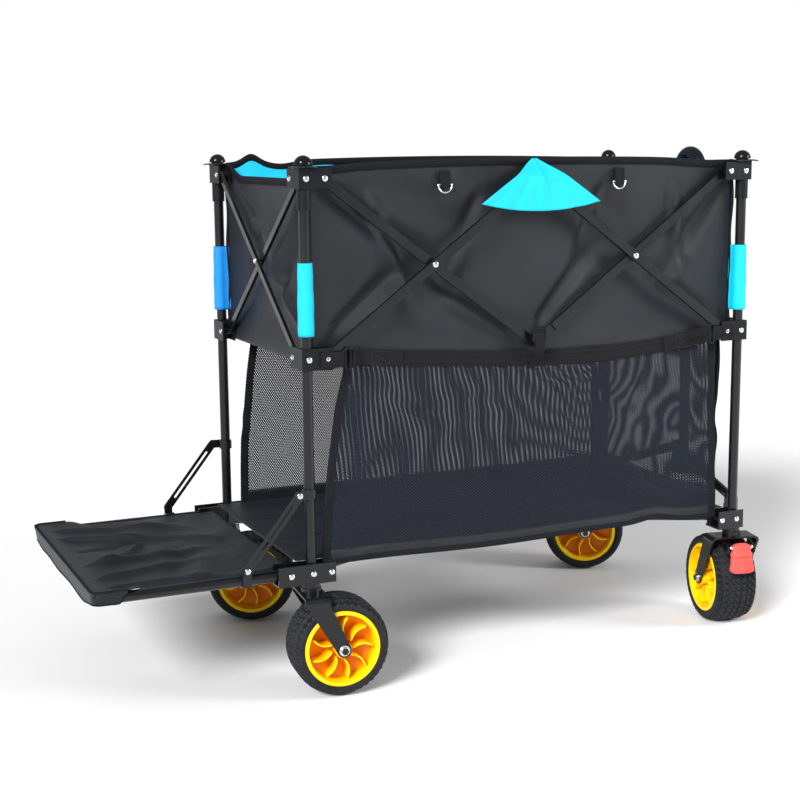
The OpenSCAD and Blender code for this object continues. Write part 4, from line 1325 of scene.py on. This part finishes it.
class CART_OT_rivets(bpy.types.Operator):
    """Makes the plated rivet heads"""

    bl_idname = "cart.rivets"
    bl_label = "Rivets"

    def execute(self, context):
        for name, (sx, sy) in CORNERS.items():
            side_y, end_x = sy * (POST_Y + CHEEK), sx * (POST_X + CHEEK)
            for part, z in (("corner", CAP_Z), ("slider", SLIDER_Z)):
                body = f"post_{name}" if part == "corner" else f"slider_{name}"
                places = [
                    ((sx * POST_X, side_y, z), (0, sy, 0)),
                    ((sx * BAR_REACH, side_y, z), (0, sy, 0)),
                    ((end_x, sy * (POST_Y - PIVOT_IN), z), (sx, 0, 0)),
                ]
                add_heads(f"{part}_rivets_{name}", body, places)
            base_y = sy * (POST_Y + BASE_CHEEK)
            base_x = [sx * BAR_REACH, sx * POST_X]
            if sx < 0:
                base_x.append(-POST_X - HINGE_OUT)
            places = [((x, base_y, BASE_Z), (0, sy, 0)) for x in base_x]
            add_heads(f"base_rivets_{name}", f"post_{name}", places)
        middle_z = (CAP_Z + SLIDER_Z) / 2
        for side, sy in (("right", -1), ("left", 1)):
            bar_y = sy * (POST_Y + SIDE_FACE)
            # each bar carries the heads of the rivets that go through it
            carried = {
                2: [(-BAR_REACH / 2, middle_z), (0, CAP_Z)],
                3: [(0, SLIDER_Z)],
                4: [(BAR_REACH / 2, middle_z)],
            }
            for number, spots in carried.items():
                places = [((x, bar_y, z), (0, sy, 0)) for x, z in spots]
                add_heads(f"bar_rivets_{side}_{number}", f"side_bar_{side}_{number}", places)
        for end, sx in (("rear", -1), ("front", 1)):
            places = [((sx * (POST_X + END_FACE), 0, middle_z), (sx, 0, 0))]
            add_heads(f"bar_rivets_{end}", f"end_bar_{end}_2", places)
        for side, sy in (("right", -1), ("left", 1)):
            stay_low, stay_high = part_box(f"tailgate_stay_{side}")
            outer_y = stay_low.y + HEAD_T if sy < 0 else stay_high.y - HEAD_T
            spots = [(stay_low.x + STAY_END, STAY_LOW), (stay_high.x - STAY_END, STAY_HIGH)]
            places = [((x, outer_y, BASE_Z + rise), (0, sy, 0)) for x, rise in spots]
            add_heads(f"stay_rivets_{side}", f"tailgate_stay_{side}", places)
        return {"FINISHED"}


# ---- wheels ----

WHEEL_R = 89 * MM
RIM_R = 69 * MM
# from the wheel's middle to the outer face of a fork leg
FORK_OUT = 50 * MM


def wheel_frame(name):
    """The axle's centre, its direction and the swivel's heading, from the joints."""
    spin = joints[f"spin_{name}"]
    swivel = joints[f"swivel_{name}"]
    centre = np.array(spin["pos_m"], float)
    heading = centre[:2] - np.array(swivel["pos_m"], float)[:2]
    heading /= np.linalg.norm(heading)
    forward = np.array([heading[0], heading[1], 0])
    axle = np.array([-heading[1], heading[0], 0])
    return centre, forward, axle


def tyre_patch(centre, forward, axle):
    """A tyre: its outline turned about the axle, cut by grooves and by staggered cross cuts.

    The outline is a list of (radius, place along the axle); depth is taken off where the tread is cut.
    """
    wheel = bpy.context.scene.cart_wheels
    outline = np.array(
        [
            (RIM_R - 3 * MM, -36 * MM),
            (RIM_R + 0.5 * MM, -38 * MM),
            (RIM_R + 1 * MM, -40.5 * MM),
            (RIM_R + 4 * MM, -42 * MM),
            (RIM_R + 9 * MM, -42.2 * MM),
            (WHEEL_R - 8 * MM, -41 * MM),
        ]
    )
    along = np.linspace(-38.5, 38.5, 61) * MM
    crown = WHEEL_R - 5.5 * MM * smooth_step((np.abs(along) - 20 * MM) / (22 * MM))
    tread = np.stack([crown, along], 1)
    far = outline[::-1] * np.array([1, -1])
    profile = np.concatenate([outline, tread, far])
    steps = wheel.blocks * 10
    angle = np.linspace(0, TAU, steps, endpoint=False)[None]
    radius, place = profile[:, :1], profile[:, 1:]
    size = np.abs(place)
    on_tread = (size < 38.6 * MM) & (radius > WHEEL_R - 7 * MM)
    rows = np.zeros_like(size)
    for groove in (6.5 * MM, 19.5 * MM, 30 * MM):
        rows = np.maximum(rows, smooth_step(1.6 - np.abs(size - groove) / (1.5 * MM)))
    # each row of blocks is turned by part of a block, and its cuts slant
    lane = np.floor(size / (6.5 * MM)) + (place > 0) * 0.5
    slant = place / (60 * MM)
    phase = np.mod(angle / TAU * wheel.blocks + lane * 0.37 + slant * 2.2, 1)
    cut = smooth_step(1.7 - np.abs(phase - 0.5) / 0.09)
    notch = smooth_step(1.8 - np.abs(np.mod(phase * 2, 1) - 0.5) / 0.10) * (size > 31 * MM)
    depth = wheel.groove * np.maximum(np.maximum(rows, cut), 0.6 * notch) * on_tread
    shoulder = (size > 40 * MM) & (radius > WHEEL_R - 13 * MM)
    depth = depth + 1.6 * MM * cut * shoulder
    radius = radius - depth
    spoke = np.cos(angle)[..., None] * forward + np.sin(angle)[..., None] * np.array([0, 0, 1.0])
    points = centre + radius[..., None] * spoke + (place + 0 * angle)[..., None] * axle
    return turned(grid(points, wrap=(False, True)))


class CART_OT_wheels(bpy.types.Operator):
    """Makes the treaded tyres, paints the rims and adds the axle bolts"""

    bl_idname = "cart.wheels"
    bl_label = "Wheels"

    def execute(self, context):
        wheel = context.scene.cart_wheels
        for name in CORNERS:
            centre, forward, axle = wheel_frame(name)
            tyre = piece(
                f"treaded_tyre_{name}",
                [tyre_patch(centre, forward, axle)],
                finish_of("tyre_rubber"),
                f"wheel_{name}",
                sharp=50,
            )
            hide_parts(f"tyre_{name}")
            # each rim turns orange deep in its dish, as painted shade
            rim = moulded_rim(f"moulded_rim_{name}", wheel.rim, wheel.rim_painted_shade, centre, axle)
            paint_node(f"wheel_rim_{name}", rim)
            places = [(centre + sign * axle * FORK_OUT, sign * axle) for sign in (-1, 1)]
            add_heads(f"axle_bolts_{name}", f"caster_{name}", places, BOLT, 30)
        return {"FINISHED"}


# ---- brakes ----


def brake_lever(side):
    """A moulded foot lever, closed all round: narrow at its hinge, flared at its foot, with a groove across it.

    Each height has an oval section; its half width steps out below the hinge and again at the foot.
    """
    joint = joints[f"brake_{side}_pivot"]
    pivot = np.array(joint["pos_m"], float)
    _, forward, across = wheel_frame(f"front_{side}")
    back = -forward
    rows, columns = 44, 72
    height, turn = np.meshgrid(
        np.linspace(0, 1, rows), np.linspace(0, TAU, columns, endpoint=False), indexing="ij"
    )
    drop = 12 * MM - 60 * MM * height
    groove = np.exp(-(((height - 0.47) / 0.03) ** 2))
    flare = 3 * smooth_step((height - 0.26) / 0.08) + 4 * smooth_step((height - 0.6) / 0.3)
    half = (19 + flare - groove) * MM
    end = np.sqrt(np.clip(1 - (2 * height - 1) ** 10, 0.004, 1))
    cosine, sine = np.cos(turn), np.sin(turn)
    wide = half * np.sign(cosine) * np.abs(cosine) ** 0.45 * end
    thick = (8 - 2.5 * height + 1.5 * smooth_step((height - 0.2) / 0.1) - 3 * groove) * MM
    deep = thick * np.sign(sine) * np.abs(sine) ** 0.6 * end
    curve = 4 * MM + 9 * MM * height**1.5
    points = (
        pivot
        + wide[..., None] * across
        + (deep + curve)[..., None] * back
        + drop[..., None] * np.array([0, 0, 1.0])
    )
    patch = capped(grid(points, wrap=(False, True)), columns, rows)
    body = f"brake_{side}"
    lever = piece(f"foot_lever_{side}", [patch], finish_of("brake_plastic"), body, sharp=60)
    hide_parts(f"brake_lever_{side}")
    # the heads of the hinge pin, at both sides
    hinge = pivot + back * 5 * MM + np.array([0, 0, 4 * MM])
    places = [(hinge + across * sign * 19 * MM, across * sign) for sign in (-1, 1)]
    add_heads(f"lever_screws_{side}", body, places, RIVET * (0.7, 2.0), 16)


class CART_OT_brakes(bpy.types.Operator):
    """Makes the brake levers"""

    bl_idname = "cart.brakes"
    bl_label = "Brakes"

    def execute(self, context):
        brake_lever("right")
        brake_lever("left")
        return {"FINISHED"}


# ---- frame finishes ----

NODE_FINISHES = (
    (("corner_cap",), "knob_nylon"),
    (("slider", "floor_hub", "handle_bracket"), "moulded_nylon"),
    (("floor_bar", "handle_inner"), "grey_paint"),
    (("handle_grip",), "grip_plastic"),
    (("post_", "side_bar", "end_bar", "handle_link", "handle_outer", "tailgate_tube"), "powder_coat"),
    (("tailgate_stay", "caster_fork"), "powder_coat"),
)


class CART_OT_frame(bpy.types.Operator):
    """Gives the frame's parts their finishes"""

    bl_idname = "cart.frame"
    bl_label = "Frame finishes"

    def execute(self, context):
        for starts, material in NODE_FINISHES:
            for name in frame["nodes"]:
                if name.startswith(starts):
                    paint_node(name, finish_of(material))
        return {"FINISHED"}


# ---- stage ----

# the point that the lights aim at, and the place that the sun shines from
AIM = Vector((0, 0, 0.5))
SUN_FROM = Vector((-3.4, -2.6, 3.1))
# strength of the white backdrop as a light, and as the camera sees it
WORLD_LIGHT, WORLD_SEEN = 0.42, 1.02
# the camera's lens in mm, its place, and its pitch down, yaw and roll in degrees
LENS = 67.5731
CAMERA_PLACE = (-1.3427, -2.6466, 0.9693)
CAMERA_ANGLES = (9.7419, -23.9442, -0.4881)


def aimed(place):
    """The rotation of a light at a place that aims at AIM."""
    return (AIM - Vector(place)).to_track_quat("-Z", "Y").to_euler()


def area_light(name, place, size, power):
    """A square soft light."""
    data = bpy.data.lights.new(name, "AREA")
    data.shape = "SQUARE"
    data.size = size
    data.energy = power
    made = bpy.data.objects.new(name, data)
    made.location = place
    made.rotation_euler = aimed(place)
    bpy.context.scene.collection.objects.link(made)


class CART_OT_stage(bpy.types.Operator):
    """Makes the pale floor, the soft lights and the camera"""

    bl_idname = "cart.stage"
    bl_label = "Stage"

    def execute(self, context):
        mesh = bpy.data.meshes.new("studio_floor")
        mesh.from_pydata([(-30, -30, 0), (30, -30, 0), (30, 30, 0), (-30, 30, 0)], [], [(0, 1, 2, 3)])
        floor = bpy.data.objects.new("studio_floor", mesh)
        context.scene.collection.objects.link(floor)
        paint, tree, shader = new_material("matt_paper", Roughness=0.9, Specular_IOR_Level=0.1)
        grain = node(tree, "ShaderNodeTexNoise", {"Scale": 3.0, "Detail": 2.0}).outputs[0]
        tint_by(tree, shader, "#F7F7F8", spread_of(tree, grain, 0, 1, 0.97, 1.0))
        mesh.materials.append(paint)
        world = bpy.data.worlds.new("studio")
        world.use_nodes = True
        # the backdrop is white, and lights the cart less than it shows
        tree = world.node_tree
        background = tree.nodes["Background"]
        background.inputs["Color"].default_value = colour("#FFFFFF")
        seen = node(tree, "ShaderNodeLightPath").outputs["Is Camera Ray"]
        strength = spread_of(tree, seen, 0, 1, WORLD_LIGHT, WORLD_SEEN)
        tree.links.new(strength, background.inputs["Strength"])
        context.scene.world = world
        context.scene.view_settings.view_transform = "Standard"
        sun = bpy.data.lights.new("key", "SUN")
        sun.energy = 4.2
        sun.angle = math.radians(20)
        key = bpy.data.objects.new("key", sun)
        key.rotation_euler = aimed(SUN_FROM)
        context.scene.collection.objects.link(key)
        area_light("fill", (3.2, -2.4, 2.0), 1.2, 90)
        data = bpy.data.cameras.new("camera")
        data.sensor_width = 36
        data.lens = LENS
        data.clip_end = 100
        camera = bpy.data.objects.new("camera", data)
        context.scene.collection.objects.link(camera)
        pitch, yaw, roll = (math.radians(a) for a in CAMERA_ANGLES)
        level = math.cos(pitch)
        ahead = Vector((-math.sin(yaw) * level, math.cos(yaw) * level, -math.sin(pitch)))
        right = Vector((math.cos(yaw), math.sin(yaw), 0))
        up = right.cross(ahead)
        across = math.cos(roll) * right + math.sin(roll) * up
        upright = -math.sin(roll) * right + math.cos(roll) * up
        turn = Matrix((across, upright, -ahead)).transposed().to_4x4()
        camera.matrix_world = Matrix.Translation(CAMERA_PLACE) @ turn
        context.scene.camera = camera
        return {"FINISHED"}


# ---- add-on ----

OPERATORS = (
    CART_OT_frame,
    CART_OT_box,
    CART_OT_floors,
    CART_OT_nets,
    CART_OT_webbing,
    CART_OT_covers,
    CART_OT_wraps,
    CART_OT_tailgate,
    CART_OT_rivets,
    CART_OT_wheels,
    CART_OT_brakes,
    CART_OT_stage,
)
SETTINGS = {
    "cart_cloth": CartClothSettings,
    "cart_mesh": CartMeshSettings,
    "cart_wheels": CartWheelSettings,
    "cart_finish": CartFinishSettings,
}


class CART_PT_panel(bpy.types.Panel):
    """Lists the cart's settings and pieces"""

    bl_label = "Beach cart"
    bl_idname = "CART_PT_panel"
    bl_space_type = "VIEW_3D"
    bl_region_type = "UI"
    bl_category = "Beach cart"

    def draw(self, context):
        for name, group in SETTINGS.items():
            settings = getattr(context.scene, name)
            for key in group.__annotations__:
                self.layout.prop(settings, key)
        for operator in OPERATORS:
            self.layout.operator(operator.bl_idname)


def register():
    """Registers the settings, the operators and the panel."""
    for name, group in SETTINGS.items():
        bpy.utils.register_class(group)
        setattr(bpy.types.Scene, name, bpy.props.PointerProperty(type=group))
    for made in (*OPERATORS, CART_PT_panel):
        bpy.utils.register_class(made)


def unregister():
    """Takes everything that register() added away again."""
    for made in reversed((*OPERATORS, CART_PT_panel)):
        bpy.utils.unregister_class(made)
    for name, group in SETTINGS.items():
        delattr(bpy.types.Scene, name)
        bpy.utils.unregister_class(group)


def main():
    register()
    for operator in OPERATORS:
        group, call = operator.bl_idname.split(".")
        getattr(getattr(bpy.ops, group), call)()


if __name__ == "__main__":
    main()
